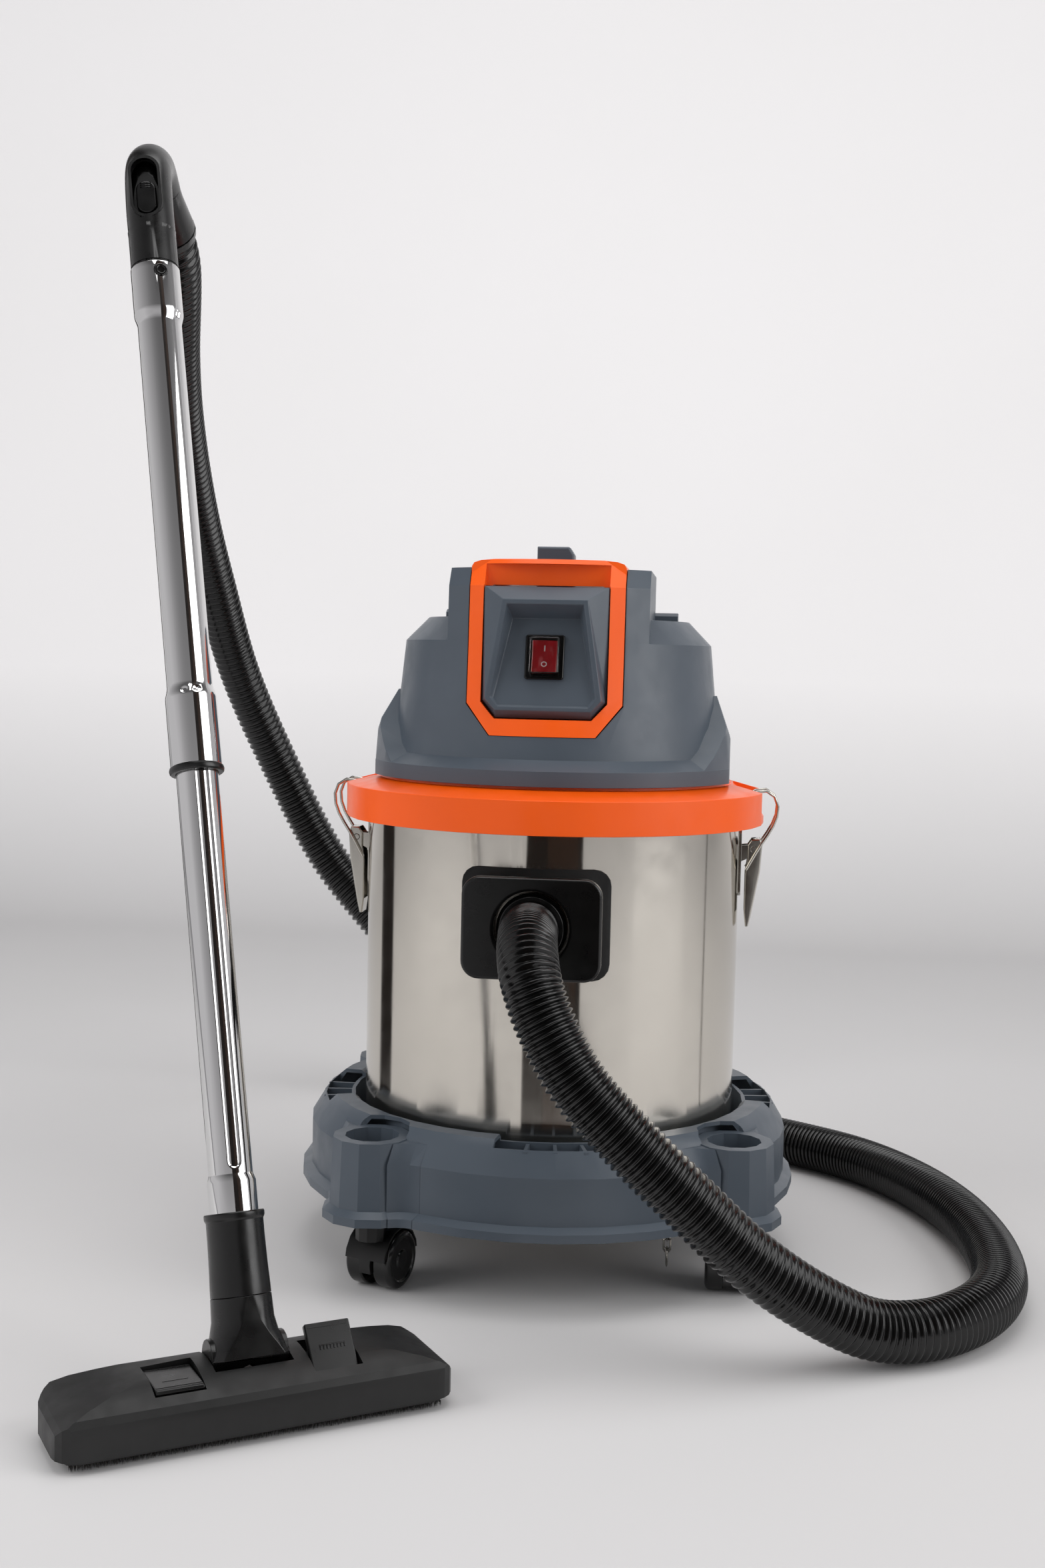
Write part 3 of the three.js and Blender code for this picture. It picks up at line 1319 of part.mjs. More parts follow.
const head = group(machine);
piece(head, "collar_ring", collarRing(), "orange");
piece(head, "tank_seal", ring(SEAL_R + SEAL_WIDTH, SEAL_R, SEAL_Z, SEAL_Z + SEAL_H, ROUND_BIG), "rubber");
piece(head, "motor_housing", motorHousing(), "slate");
piece(head, "carrying_frame", carryingFrame(), "orange");
piece(head, "switch_panel", switchPanel(), "slate");
const switchGroup = group(head, 0, SWITCH_Y, SWITCH_Z, [-PANEL_LEAN, 0, 0]);
piece(switchGroup, "switch_bezel", switchBezel(), "black");
piece(group(switchGroup, 0, -1, 0), "switch_rocker", switchRocker(), "red");
piece(group(head, 0, KNOB_Y, 0), "top_knob", topKnob(), "slate");
const gland = ring(GLAND_R, CORD_R, 0, 24, ROUND_SMALL).add(ring(GLAND_R + 4, CORD_R, 13, 17, ROUND_SMALL));
piece(group(head, 0, BODY_R - 14.5, GLAND_Z, [-90, 0, 0]), "cord_gland", gland, "black");
const motorGroup = group(head, 0, 0, COLLAR_TOP + GAP);
piece(motorGroup, "motor", motorBody(), "black");
piece(group(motorGroup, 0, 0, FAN_Z), "motor_fan", motorFan(), "steel");
const cageGroup = group(head, 0, 0, COLLAR_TOP - 4 - GAP);
piece(cageGroup, "float_cage", floatCage(), "black");
const ballZ = -CAGE_H + WALL + GAP + Math.sqrt(BALL_R ** 2 - CAGE_DRAIN_R ** 2);
const ball = new THREE.SphereGeometry(BALL_R, 14, 9).rotateX(Math.PI / 2);
piece(group(cageGroup, 0, 0, ballZ), "float_ball", solid(ball), "black");
const filter = ring(FILTER_R, FILTER_R - 8, -3 - GAP - FILTER_H, -3 - GAP, ROUND_MID)
  .add(ring(FILTER_R, CAGE_R + 4, -3 - GAP - FILTER_H, -FILTER_H, ROUND_MID));
piece(cageGroup, "filter_sleeve", filter, "cloth");

for (const [name, turn] of [["right", 0], ["left", 180]]) {
  const side = group(machine, 0, 0, 0, [0, 0, turn]);
  piece(side, `latch_bracket_${name}`, latchBracket(), "steel");
  piece(side, `latch_lever_${name}`, latchLever(), "steel");
  piece(side, `latch_bail_${name}`, latchBail(), "steel");
}

const nozzle = group(machine, NOZZLE_X, NOZZLE_Y, 0, [0, 0, WAND_YAW]);
piece(nozzle, "nozzle_body", nozzleBody(), "black");
piece(nozzle, "nozzle_sole", nozzleSole(), "black");
piece(nozzle, "bristle_front", bristles(-NOZZLE_FRONT + 8), "rubber");
piece(nozzle, "bristle_rear", bristles(NOZZLE_BACK - 9), "rubber");
piece(group(nozzle, -PEDAL_X, PEDAL_HINGE, PEDAL_Z), "pedal_left", pedal(), "black");
piece(group(nozzle, PEDAL_X, PEDAL_HINGE, PEDAL_Z, [PEDAL_RAISED, 0, 0]), "pedal_right", pedal(), "black");

const wand = group(nozzle, 0, 0, PIVOT_Z, [-WAND_LEAN, 0, 0]);
piece(wand, "nozzle_elbow", nozzleElbow(), "black");
piece(wand, "nozzle_socket", nozzleSocket(), "black");
piece(wand, "lower_tube", lowerTube(), "steel");
piece(wand, "tube_collar", tubeCollar(), "black");
piece(wand, "upper_tube", upperTube(), "steel");
piece(wand, "wand_lock_button", lockButton(), "black");

const grip = group(wand, 0, 0, UPPER_END, [0, 0, GRIP_TWIST]);
piece(grip, "grip_handle", gripHandle(), "black");
piece(grip, "air_slider", airSlider(), "black");
const gripTip = new THREE.Group();
gripTip.applyMatrix4(gripEnd);
grip.add(gripTip);
piece(gripTip, "hose_handle_cuff", gripCuff(), "black");

// The hose leaves the inlet cuff straight and ends face to face with the handle's cuff.
machine.updateMatrixWorld(true);
const hoseEnd = [8 + GAP, 40, 80].map((s) => new THREE.Vector3(0, 0, s).applyMatrix4(gripTip.matrixWorld).toArray());
const route = [...HOSE_ROUTE, ...hoseEnd.reverse().slice(1)];
piece(machine, "hose", tube(route, HOSE_R, 10, 50), "rubber");

// The origin is on the floor under the middle of the machine and its wand, the hose left out.
const reach = new THREE.Box3();
machine.traverse((part) => {
  if (part.isMesh && part.name !== "hose") reach.expandByObject(part, true);
});
const centre = reach.getCenter(new THREE.Vector3());
machine.position.set(-centre.x, -centre.y, -reach.min.z);

export default vacuum;
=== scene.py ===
import json
import math
import random

import bmesh
import bpy
from mathutils import Matrix, Vector, noise

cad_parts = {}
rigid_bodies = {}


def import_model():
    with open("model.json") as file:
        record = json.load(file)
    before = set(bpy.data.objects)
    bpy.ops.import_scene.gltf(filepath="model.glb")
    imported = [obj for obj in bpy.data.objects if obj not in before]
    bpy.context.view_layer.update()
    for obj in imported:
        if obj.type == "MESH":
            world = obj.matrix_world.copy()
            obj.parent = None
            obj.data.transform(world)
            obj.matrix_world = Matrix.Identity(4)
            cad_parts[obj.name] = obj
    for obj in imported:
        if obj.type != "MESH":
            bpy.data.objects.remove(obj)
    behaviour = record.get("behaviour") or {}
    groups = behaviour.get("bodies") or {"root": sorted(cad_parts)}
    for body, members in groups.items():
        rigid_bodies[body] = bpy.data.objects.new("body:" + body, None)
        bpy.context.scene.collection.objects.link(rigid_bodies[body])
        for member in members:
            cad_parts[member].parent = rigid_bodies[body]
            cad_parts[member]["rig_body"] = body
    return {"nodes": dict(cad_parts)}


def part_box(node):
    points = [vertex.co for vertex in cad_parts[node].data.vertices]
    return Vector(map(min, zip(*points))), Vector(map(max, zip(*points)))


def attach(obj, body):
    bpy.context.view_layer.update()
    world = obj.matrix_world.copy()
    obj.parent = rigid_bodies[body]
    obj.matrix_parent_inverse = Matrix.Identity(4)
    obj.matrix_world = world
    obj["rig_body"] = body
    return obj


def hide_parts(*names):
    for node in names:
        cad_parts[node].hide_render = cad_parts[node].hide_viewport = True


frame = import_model()

bl_info = {
    "name": "Shop Vacuum",
    "version": (1, 0, 0),
    "blender": (4, 5, 0),
    "location": "View3D > Sidebar > Shop Vacuum",
    "description": "Dresses the packed shop vacuum with smooth pieces and moulded, plated and ribbed finishes",
    "category": "Object",
}


# ---------- the machine's own frames: millimetres from the drum's axis ----------
def to_row():
    """Millimetres round the drum's axis to metres in the row frame."""
    low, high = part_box("drum")
    middle = [(a + b) / 2 for a, b in zip(low, high)]
    return Matrix.Translation((middle[0], middle[1], 0)) @ Matrix.Scale(0.001, 4)


ROW = to_row()
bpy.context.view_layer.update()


def turned(x=0.0, y=0.0, z=0.0, rx=0.0, ry=0.0, rz=0.0):
    """A frame at x, y, z, turned about X, then Y, then Z, in degrees."""
    turn = Matrix.Rotation(math.radians(rz), 4, "Z")
    turn = turn @ Matrix.Rotation(math.radians(ry), 4, "Y") @ Matrix.Rotation(math.radians(rx), 4, "X")
    return Matrix.Translation((x, y, z)) @ turn


DRUM_R = 170.0
DRUM_Z = 84.3
DRUM_TOP = 411.7
COLLAR_R = 191.5
COLLAR_TOP = 434.0
HEAD_Z = 434.3
INLET_Z = 319.6
PIVOT_Z = 45.0
UPPER_START = 430.0
UPPER_END = 845.0
TUBE_R = 16.0
UPPER_R = 17.5
SOCKET_R = 19.6
SWAGE_R = 17.7
SWAGE_TOP = 120.0
SOCKET_TOP = 98.5
NECK_R = 21.0
GRIP_R = 19.0
HOSE_R = 23.5

TROLLEY = turned(rz=7)
NOZZLE = turned(-173, -435, 0, rz=32.6)
WAND = NOZZLE @ turned(0, 0, PIVOT_Z, rx=-18.4)
GRIP = WAND @ turned(0, 0, UPPER_END, rz=-23.5)
GRIP_PATH = [
    (0, 0, 2),
    (0, 0, 30),
    (0, 0, 60),
    (0, 12, 96),
    (0, 40, 117),
    (0, 76, 114),
    (0, 112, 102),
]
GRIP_END = GRIP @ turned(*GRIP_PATH[-1], rx=-106)
SWITCH = turned(0, -131.5, 541.8, rx=-14.6)
LOBE_DISTANCE = 217.7
CASTERS = {"front_left": (-135, -118), "front_right": (-45, -97), "rear_right": (45, -60), "rear_left": (135, 20)}
PEDAL_HINGE = -24.0

HOSE_ROUTE = [
    (0, -199.5, 319.6),
    (0, -222, 319.6),
    (3, -254, 320),
    (6, -283, 314),
    (11, -303, 297),
    (22, -314, 270),
    (49, -323, 225),
    (88, -325, 183),
    (137, -321, 136),
    (185, -312, 91),
    (234, -295, 55),
    (280, -276, 31),
    (325, -252, 24.6),
    (366, -210, 24.6),
    (393, -150, 24.6),
    (402, -59, 24.6),
    (389, 52, 24.6),
    (356, 149, 24.6),
    (306, 228, 24.6),
    (232, 290, 24.6),
    (150, 340, 24.6),
    (60, 395, 30),
    (-40, 448, 52),
    (-140, 488, 104),
    (-215, 505, 172),
    (-269, 506, 228),
    (-324, 505, 296),
    (-379, 485, 406),
    (-415, 435, 513),
    (-426, 360, 615),
    (-427, 300, 678),
    (-420, 230, 736),
    (-406, 152, 789),
    (-388, 80, 828),
]


# ---------- colours and nodes ----------
def linear(code):
    """An sRGB hex colour as linear red, green and blue."""
    parts = [int(code[i : i + 2], 16) / 255 for i in (1, 3, 5)]
    return tuple(c / 12.92 if c <= 0.04045 else ((c + 0.055) / 1.055) ** 2.4 for c in parts)


def add(tree, kind, links=None, **settings):
    """One node in a tree, with its settings and what feeds or fills its sockets."""
    node = tree.nodes.new(kind)
    for name, value in settings.items():
        setattr(node, name, value)
    for name, value in (links or {}).items():
        socket = node.inputs[name]
        if isinstance(value, bpy.types.NodeSocket):
            tree.links.new(value, socket)
        else:
            socket.default_value = value
    return node


def rgba(colour, factor=1.0):
    return (*(min(1.0, c * factor) for c in colour), 1.0)


def blend(tree, share, low, high):
    """A socket with a colour between two, by a share from 0 to 1; a mix node's sockets are told apart by place."""
    mix = add(tree, "ShaderNodeMix", {6: low, 7: high}, data_type="RGBA")
    tree.links.new(share, mix.inputs[0])
    return mix.outputs[2]


def colours():
    return bpy.context.scene.vacuum_colours


def sizes():
    return bpy.context.scene.vacuum_sizes


def material(name):
    """The material of that name and its emptied tree, or None for the tree once it is made."""
    found = bpy.data.materials.get(name)
    if found:
        return found, None
    made = bpy.data.materials.new(name)
    made.use_nodes = True
    made.node_tree.nodes.clear()
    return made, made.node_tree


def shade(tree, shader):
    add(tree, "ShaderNodeOutputMaterial", {"Surface": shader.outputs["BSDF"]})


def moulded(name, colour, grain=0.25, depth=0.012, rough=(0.38, 0.5), coat=0.0, cloud=0.05, scuff=0.0, ior=1.49):
    """A moulded plastic: spark-eroded grain in millimetres, faint flow clouding and, where it is handled, scuffs."""
    made, tree = material(name)
    if tree is None:
        return made
    place = add(tree, "ShaderNodeTexCoord").outputs["Object"]
    clouds = add(tree, "ShaderNodeTexNoise", {"Vector": place, "Scale": 1 / 0.045, "Detail": 3.0})
    shift = add(tree, "ShaderNodeMapRange", {"Value": clouds.outputs["Fac"], "From Min": 0.3, "From Max": 0.7})
    base = blend(tree, shift.outputs["Result"], rgba(colour, 1 - cloud), rgba(colour, 1 + cloud))
    patches = add(tree, "ShaderNodeTexNoise", {"Vector": place, "Scale": 1 / 0.018, "Detail": 4.0})
    roughness = add(
        tree,
        "ShaderNodeMapRange",
        {"Value": patches.outputs["Fac"], "From Min": 0.3, "From Max": 0.7, "To Min": rough[0], "To Max": rough[1]},
    )
    fine = add(tree, "ShaderNodeTexNoise", {"Vector": place, "Scale": 1000 / grain, "Detail": 2.0})
    height = fine.outputs["Fac"]
    if scuff:
        streaks = add(tree, "ShaderNodeMapping", {"Vector": place, "Scale": (40.0, 260.0, 900.0)})
        scratch = add(tree, "ShaderNodeTexNoise", {"Vector": streaks.outputs["Vector"], "Scale": 1.0, "Detail": 6.0})
        cut = add(
            tree,
            "ShaderNodeMapRange",
            {"Value": scratch.outputs["Fac"], "From Min": 0.62, "From Max": 0.74, "To Min": 0.0, "To Max": scuff},
        )
        height = add(tree, "ShaderNodeMath", {0: height, 1: cut.outputs["Result"]}, operation="ADD").outputs[0]
    bump = add(tree, "ShaderNodeBump", {"Height": height, "Strength": 1.0, "Distance": depth / 1000})
    settings = {
        "Base Color": base,
        "Roughness": roughness.outputs["Result"],
        "IOR": ior,
        "Normal": bump.outputs["Normal"],
        "Coat Weight": coat,
        "Coat Roughness": 0.12,
    }
    shade(tree, add(tree, "ShaderNodeBsdfPrincipled", settings))
    return made


def metal(name, colour, rough=(0.04, 0.09), stretch=(1.0, 1.0, 1.0), wave=0.0, grain=0.0, rolled=0.0):
    """A plated or polished metal: patchy roughness, a slow waviness of the sheet and a fine brushed grain."""
    made, tree = material(name)
    if tree is None:
        return made
    place = add(tree, "ShaderNodeTexCoord").outputs["Object"]
    patches = add(tree, "ShaderNodeTexNoise", {"Vector": place, "Scale": 1 / 0.03, "Detail": 5.0})
    roughness = add(
        tree,
        "ShaderNodeMapRange",
        {"Value": patches.outputs["Fac"], "From Min": 0.35, "From Max": 0.7, "To Min": rough[0], "To Max": rough[1]},
    )
    drawn = add(tree, "ShaderNodeMapping", {"Vector": place, "Scale": stretch})
    slow = add(tree, "ShaderNodeTexNoise", {"Vector": drawn.outputs["Vector"], "Scale": 1 / 0.05, "Detail": 1.0})
    sheet = add(tree, "ShaderNodeBump", {"Height": slow.outputs["Fac"], "Strength": 1.0, "Distance": wave / 1000})
    fine = add(tree, "ShaderNodeTexNoise", {"Vector": drawn.outputs["Vector"], "Scale": 1 / 0.0008, "Detail": 2.0})
    bump = add(
        tree,
        "ShaderNodeBump",
        {"Height": fine.outputs["Fac"], "Strength": 1.0, "Distance": grain / 1000, "Normal": sheet.outputs["Normal"]},
    )
    settings = {
        "Base Color": rgba(colour),
        "Metallic": 1.0,
        "Roughness": roughness.outputs["Result"],
        "Normal": bump.outputs["Normal"],
    }
    if rolled:
        # the grain runs round the sheet, so reflections are drawn out across it
        settings["Anisotropic"] = rolled
        settings["Anisotropic Rotation"] = 0.25
        settings["Tangent"] = add(tree, "ShaderNodeTangent", direction_type="RADIAL", axis="Z").outputs["Tangent"]
    shade(tree, add(tree, "ShaderNodeBsdfPrincipled", settings))
    return made


# ---------- meshes ----------
def skin(rings, caps=True):
    """Rings of points joined in order into one surface, as vertices and faces."""
    count = len(rings[0])
    faces = []
    for level in range(len(rings) - 1):
        for i in range(count):
            a, b = level * count + i, level * count + (i + 1) % count
            faces.append((a, b, b + count, a + count))
    if caps:
        faces.append(tuple(reversed(range(count))))
        faces.append(tuple(range((len(rings) - 1) * count, len(rings) * count)))
    return [p for ring in rings for p in ring], faces


def lathe(profile, segments=96):
    """A profile of (radius, height) turned about Z; it ends on the axis or closes on itself."""
    closed = profile[0][0] > 0 or profile[-1][0] > 0
    path = [*profile, profile[0]] if closed else profile
    rings = []
    for r, z in path:
        spin = (math.tau * i / segments for i in range(segments))
        rings.append([(r * math.cos(a), r * math.sin(a), z) for a in spin])
    return skin(rings, caps=False)


def prism(outline, z0, z1):
    return skin([[(x, y, z0) for x, y in outline], [(x, y, z1) for x, y in outline]])


def arc(cx, cy, r, start, end, steps):
    spans = (math.radians(start + (end - start) * i / steps) for i in range(steps + 1))
    return [(cx + r * math.cos(a), cy + r * math.sin(a)) for a in spans]


def rounded(width, height, r, steps=6, cx=0.0, cy=0.0):
    x, y = width / 2 - r, height / 2 - r
    return [
        *arc(cx + x, cy - y, r, -90, 0, steps),
        *arc(cx + x, cy + y, r, 0, 90, steps),
        *arc(cx - x, cy + y, r, 90, 180, steps),
        *arc(cx - x, cy - y, r, 180, 270, steps),
    ]


def block(x0, x1, y0, y1, z0, z1):
    return prism([(x0, y0), (x1, y0), (x1, y1), (x0, y1)], z0, z1)


TO_FRONT = turned(rx=90)  # turns +Z to -Y


def make(name, shape, place=Matrix(), finish=None, smooth=True):
    """An object in the row frame from (vertices, faces) in millimetres in the frame that place gives."""
    verts, faces = shape
    mesh = bpy.data.meshes.new(name)
    bm = bmesh.new()
    points = [bm.verts.new(ROW @ (place @ Vector(v))) for v in verts]
    for face in faces:
        bm.faces.new([points[i] for i in face])
    bmesh.ops.remove_doubles(bm, verts=bm.verts, dist=2e-6)
    bmesh.ops.recalc_face_normals(bm, faces=bm.faces)
    for face in bm.faces:
        face.smooth = smooth
    bm.to_mesh(mesh)
    bm.free()
    made = bpy.data.objects.new(name, mesh)
    bpy.context.scene.collection.objects.link(made)
    if finish:
        mesh.materials.append(finish)
    return made


def combine(target, others, operation="DIFFERENCE"):
    """Cuts the others out of target, or joins or intersects them with it, and deletes them."""
    for other in others:
        tool = target.modifiers.new("cut", "BOOLEAN")
        tool.operation = operation
        tool.solver = "EXACT"
        tool.object = other
        settle(target)
        bpy.data.objects.remove(other)
    return target


def settle(target):
    """Turns a piece's modifiers into its mesh."""
    view = bpy.context.evaluated_depsgraph_get()
    view.update()
    mesh = bpy.data.meshes.new_from_object(target.evaluated_get(view))
    old = target.data
    target.modifiers.clear()
    target.data = mesh
    bpy.data.meshes.remove(old)
    return target


def soften(target, width=0.6, segments=2, angle=28):
    """Rounds the sharp edges and keeps flat faces flat in the shading. width is in millimetres."""
    if width:
        bevel = target.modifiers.new("edge_round", "BEVEL")
        bevel.width = width / 1000
        bevel.segments = segments
        bevel.limit_method = "ANGLE"
        bevel.angle_limit = math.radians(angle)
        bevel.harden_normals = False
        bevel.use_clamp_overlap = True
    for face in target.data.polygons:
        face.use_smooth = True
    weighted = target.modifiers.new("even_shading", "WEIGHTED_NORMAL")
    weighted.weight = 100
    weighted.keep_sharp = True
    return target


def tidy(target, angle=0.6):
    """Joins the flat triangles that a cut leaves."""
    bm = bmesh.new()
    bm.from_mesh(target.data)
    bmesh.ops.remove_doubles(bm, verts=bm.verts, dist=3e-6)
    bmesh.ops.dissolve_limit(bm, angle_limit=math.radians(angle), verts=bm.verts, edges=bm.edges)
    bm.to_mesh(target.data)
    bm.free()
    return target


def dressed(node, finish, edge=0.6, name=None, segments=2, angle=28, body=None, mat_slot=None):
    """A CAD solid's own shape with rounded edges and even shading, standing for it."""
    source = frame["nodes"][node]
    made = bpy.data.objects.new(name or f"{node}_moulding", source.data.copy())
    made.data.materials.clear()
    made.data.materials.append(finish)
    bpy.context.scene.collection.objects.link(made)
    tidy(made)
    soften(made, edge, segments, angle)
    return seat(made, node, body=body, mat_slot=mat_slot)


def seat(made, *nodes, body=None, mat_slot=None):
    """A piece rides on the body of the node it stands for, and the nodes it stands for are hidden; mat_slot is not
    used.
    """
    node = nodes[0]
    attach(made, body or frame["nodes"][node]["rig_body"])
    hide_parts(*nodes)
    return made


def extra(made, node):
    """A piece with no CAD node of its own, which rides with a node."""
    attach(made, frame["nodes"][node]["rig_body"])
    return made


def join(name, parts):
    """Several objects as one mesh object."""
    bm = bmesh.new()
    slots = []
    for part in parts:
        for finish in part.data.materials:
            if finish not in slots:
                slots.append(finish)
    for part in parts:
        held = bmesh.new()
        held.from_mesh(part.data)
        for face in held.faces:
            face.material_index = slots.index(part.data.materials[face.material_index])
        temp = bpy.data.meshes.new("held")
        held.to_mesh(temp)
        held.free()
        bm.from_mesh(temp)
        bpy.data.meshes.remove(temp)
        bpy.data.objects.remove(part)
    mesh = bpy.data.meshes.new(name)
    bm.to_mesh(mesh)
    bm.free()
    made = bpy.data.objects.new(name, mesh)
    for finish in slots:
        mesh.materials.append(finish)
    bpy.context.scene.collection.objects.link(made)
    return made


def smooth_path(points, steps):
    """Points at even steps along a centripetal Catmull-Rom curve, as a list of vectors."""
    points = [Vector(p) for p in points]
    ends = [2 * points[0] - points[1], *points, 2 * points[-1] - points[-2]]
    dense = []
    for i in range(1, len(ends) - 2):
        a, b, c, d = ends[i - 1 : i + 3]
        t0, t1, t2 = (max((q - p).length ** 0.5, 1e-4) for p, q in ((a, b), (b, c), (c, d)))
        m1 = ((b - a) / t0 - (c - a) / (t0 + t1) + (c - b) / t1) * t1
        m2 = ((c - b) / t1 - (d - b) / (t1 + t2) + (d - c) / t2) * t1
        for k in range(40):
            t = k / 40
            dense.append(
                b * (2 * t**3 - 3 * t**2 + 1) + m1 * (t**3 - 2 * t**2 + t) + c * (3 * t**2 - 2 * t**3) + m2 * (t**3 - t**2)
            )
    dense.append(points[-1])
    walked = [0.0]
    for p, q in zip(dense, dense[1:]):
        walked.append(walked[-1] + (q - p).length)
    even, j = [], 0
    for k in range(steps + 1):
        want = walked[-1] * k / steps
        while j < len(walked) - 2 and walked[j + 1] < want:
            j += 1
        part = (want - walked[j]) / max(walked[j + 1] - walked[j], 1e-9)
        even.append(dense[j].lerp(dense[j + 1], min(1.0, part)))
    return even, walked[-1]


def carried(path, up=Vector((0, 0, 1))):
    """Frames along a path that turn as little as they can: (point, side, up, forward)."""
    forward = (path[1] - path[0]).normalized()
    side = forward.cross(up).normalized()
    frames = []
    for i, point in enumerate(path):
        ahead = path[min(i + 1, len(path) - 1)] - path[max(i - 1, 0)]
        ahead = ahead.normalized()
        side = (side - ahead * side.dot(ahead)).normalized()
        frames.append((point, side, side.cross(ahead) * -1, ahead))
    return frames


def swept(path, radius, sides=40, caps=True, up=Vector((0, 0, 1))):
    """A round section carried along a path; radius is a function of (index, angle)."""
    rings = []
    for i, (point, side, lift, _) in enumerate(carried(path, up)):
        ring = []
        for k in range(sides):
            a = math.tau * k / sides
            ring.append(tuple(point + (side * math.cos(a) + lift * math.sin(a)) * radius(i, a)))
        rings.append(ring)
    return skin(rings, caps)


# ---------- finishes ----------
def slate_plastic():
    # polypropylene, injection moulded: a soft even sheen, finely spark-eroded, that blooms on rounded edges
    return moulded("slate_polypropylene_moulded", colours().slate, 0.45, 0.014, (0.34, 0.44), cloud=0.04, scuff=0.25)


def orange_plastic():
    # polypropylene, injection moulded and smoother than the slate parts, so it carries a broad clean highlight
    return moulded("orange_polypropylene_moulded", colours().orange, 0.6, 0.006, (0.28, 0.38), cloud=0.025)


def black_texture():
    # ABS, moulded in a coarse spark-eroded tool: deep black that turns grey where light grazes it
    return moulded("black_abs_textured", colours().black, 0.55, 0.035, (0.42, 0.55), cloud=0.1, scuff=0.2, ior=1.54)


def black_satin():
    # ABS, moulded in a smooth tool: satin with soft long highlights
    return moulded("black_abs_satin", colours().black, 0.4, 0.008, (0.24, 0.36), cloud=0.08, ior=1.54)


def black_gloss():
    # nylon, moulded in a polished tool: crisp highlights on wheels and switch parts
    return moulded("black_nylon_polished", colours().black, 0.6, 0.003, (0.12, 0.22), cloud=0.05, ior=1.53)


def black_rubber():
    # EPDM, compression moulded: dull, with a dusty bloom
    return moulded("black_epdm_rubber", colours().black, 0.7, 0.04, (0.62, 0.78), cloud=0.18, ior=1.52)


def hose_plastic():
    # EVA, blown on a helical mandrel: a waxy gloss on each rib's crest
    return moulded("black_eva_blown", colours().hose, 0.8, 0.012, (0.13, 0.22), cloud=0.12, ior=1.5)


def stainless():
    # stainless sheet, rolled to a drum and mirror polished: upright reflections that waver a little
    # its warm tint is partly the steel's own cast and partly a painted reflection of the warm room round the drum
    return metal("stainless_sheet_polished", linear("#d8d3ca"), (0.11, 0.16), (0.25, 0.25, 1.0), 0.05, 0.0002, rolled=1.0)


def chrome():
    # steel tube, drawn and chromium plated: hard reflections, drawn out along the tube
    return metal("steel_chromium_plated", linear("#dcdcdc"), (0.03, 0.07), (1.0, 1.0, 0.06), 0.02, 0.0004)


def nickel():
    # steel strip and wire, pressed and nickel plated: bright with a warm cast and tool marks
    return metal("steel_nickel_plated", linear("#c9c5bd"), (0.1, 0.24), (1.0, 1.0, 1.0), 0.03, 0.002)


def cast_aluminium():
    # aluminium, pressure cast and left as cast: grey and grainy
    return metal("aluminium_cast", linear("#9a9a98"), (0.38, 0.55), (1.0, 1.0, 1.0), 0.06, 0.03)


def red_rocker():
    # polycarbonate, tinted and moulded clear: dark red with a wet gloss
    made, tree = material("red_polycarbonate_tinted")
    if tree:
        place = add(tree, "ShaderNodeTexCoord").outputs["Object"]
        haze = add(tree, "ShaderNodeTexNoise", {"Vector": place, "Scale": 1 / 0.006, "Detail": 2.0})
        ramp = blend(tree, haze.outputs["Fac"], rgba(colours().red, 0.75), rgba(colours().red, 1.2))
        shade(
            tree,
            add(
                tree,
                "ShaderNodeBsdfPrincipled",
                {
                    "Base Color": ramp,
                    "Roughness": 0.12,
                    "IOR": 1.58,
                    "Coat Weight": 0.6,
                    "Coat Roughness": 0.05,
                    "Subsurface Weight": 0.2,
                    "Subsurface Radius": (0.004, 0.001, 0.001),
                },
            ),
        )
    return made


def clear_cover():
    # soft PVC, moulded clear over the switch: see-through, with bright wet edges and a little haze
    made, tree = material("clear_pvc_moulded")
    if tree:
        place = add(tree, "ShaderNodeTexCoord").outputs["Object"]
        wave = add(tree, "ShaderNodeTexNoise", {"Vector": place, "Scale": 1 / 0.009, "Detail": 1.0})
        bump = add(tree, "ShaderNodeBump", {"Height": wave.outputs["Fac"], "Strength": 1.0, "Distance": 0.0006})
        settings = {
            "Base Color": rgba(linear("#fbf7f6")),
            "Roughness": 0.06,
            "IOR": 1.53,
            "Transmission Weight": 1.0,
            "Normal": bump.outputs["Normal"],
        }
        shade(tree, add(tree, "ShaderNodeBsdfPrincipled", settings))
    return made


def white_ink():
    # pad-printed enamel ink: flat white
    return moulded("white_ink_pad_printed", linear("#e9e4e4"), 0.3, 0.004, (0.4, 0.55), cloud=0.03)


def filter_cloth():
    # polyester felt: fibres a few tenths of a millimetre apart, drawn at 0.8 mm so that they show
    made, tree = material("polyester_felt_needled")
    if tree:
        place = add(tree, "ShaderNodeTexCoord").outputs["Object"]
        fibres = add(tree, "ShaderNodeTexNoise", {"Vector": place, "Scale": 1 / 0.0008, "Detail": 4.0, "Distortion": 1.5})
        cloud = add(tree, "ShaderNodeTexNoise", {"Vector": place, "Scale": 1 / 0.03, "Detail": 3.0})
        tint = blend(tree, cloud.outputs["Fac"], rgba(linear("#cfc9bb")), rgba(linear("#e4e0d6")))
        bump = add(tree, "ShaderNodeBump", {"Height": fibres.outputs["Fac"], "Strength": 1.0, "Distance": 0.0002})
        shade(
            tree,
            add(
                tree,
                "ShaderNodeBsdfPrincipled",
                {
                    "Base Color": tint,
                    "Roughness": 0.9,
                    "Sheen Weight": 0.3,
                    "Normal": bump.outputs["Normal"],
                },
            ),
        )
    return made


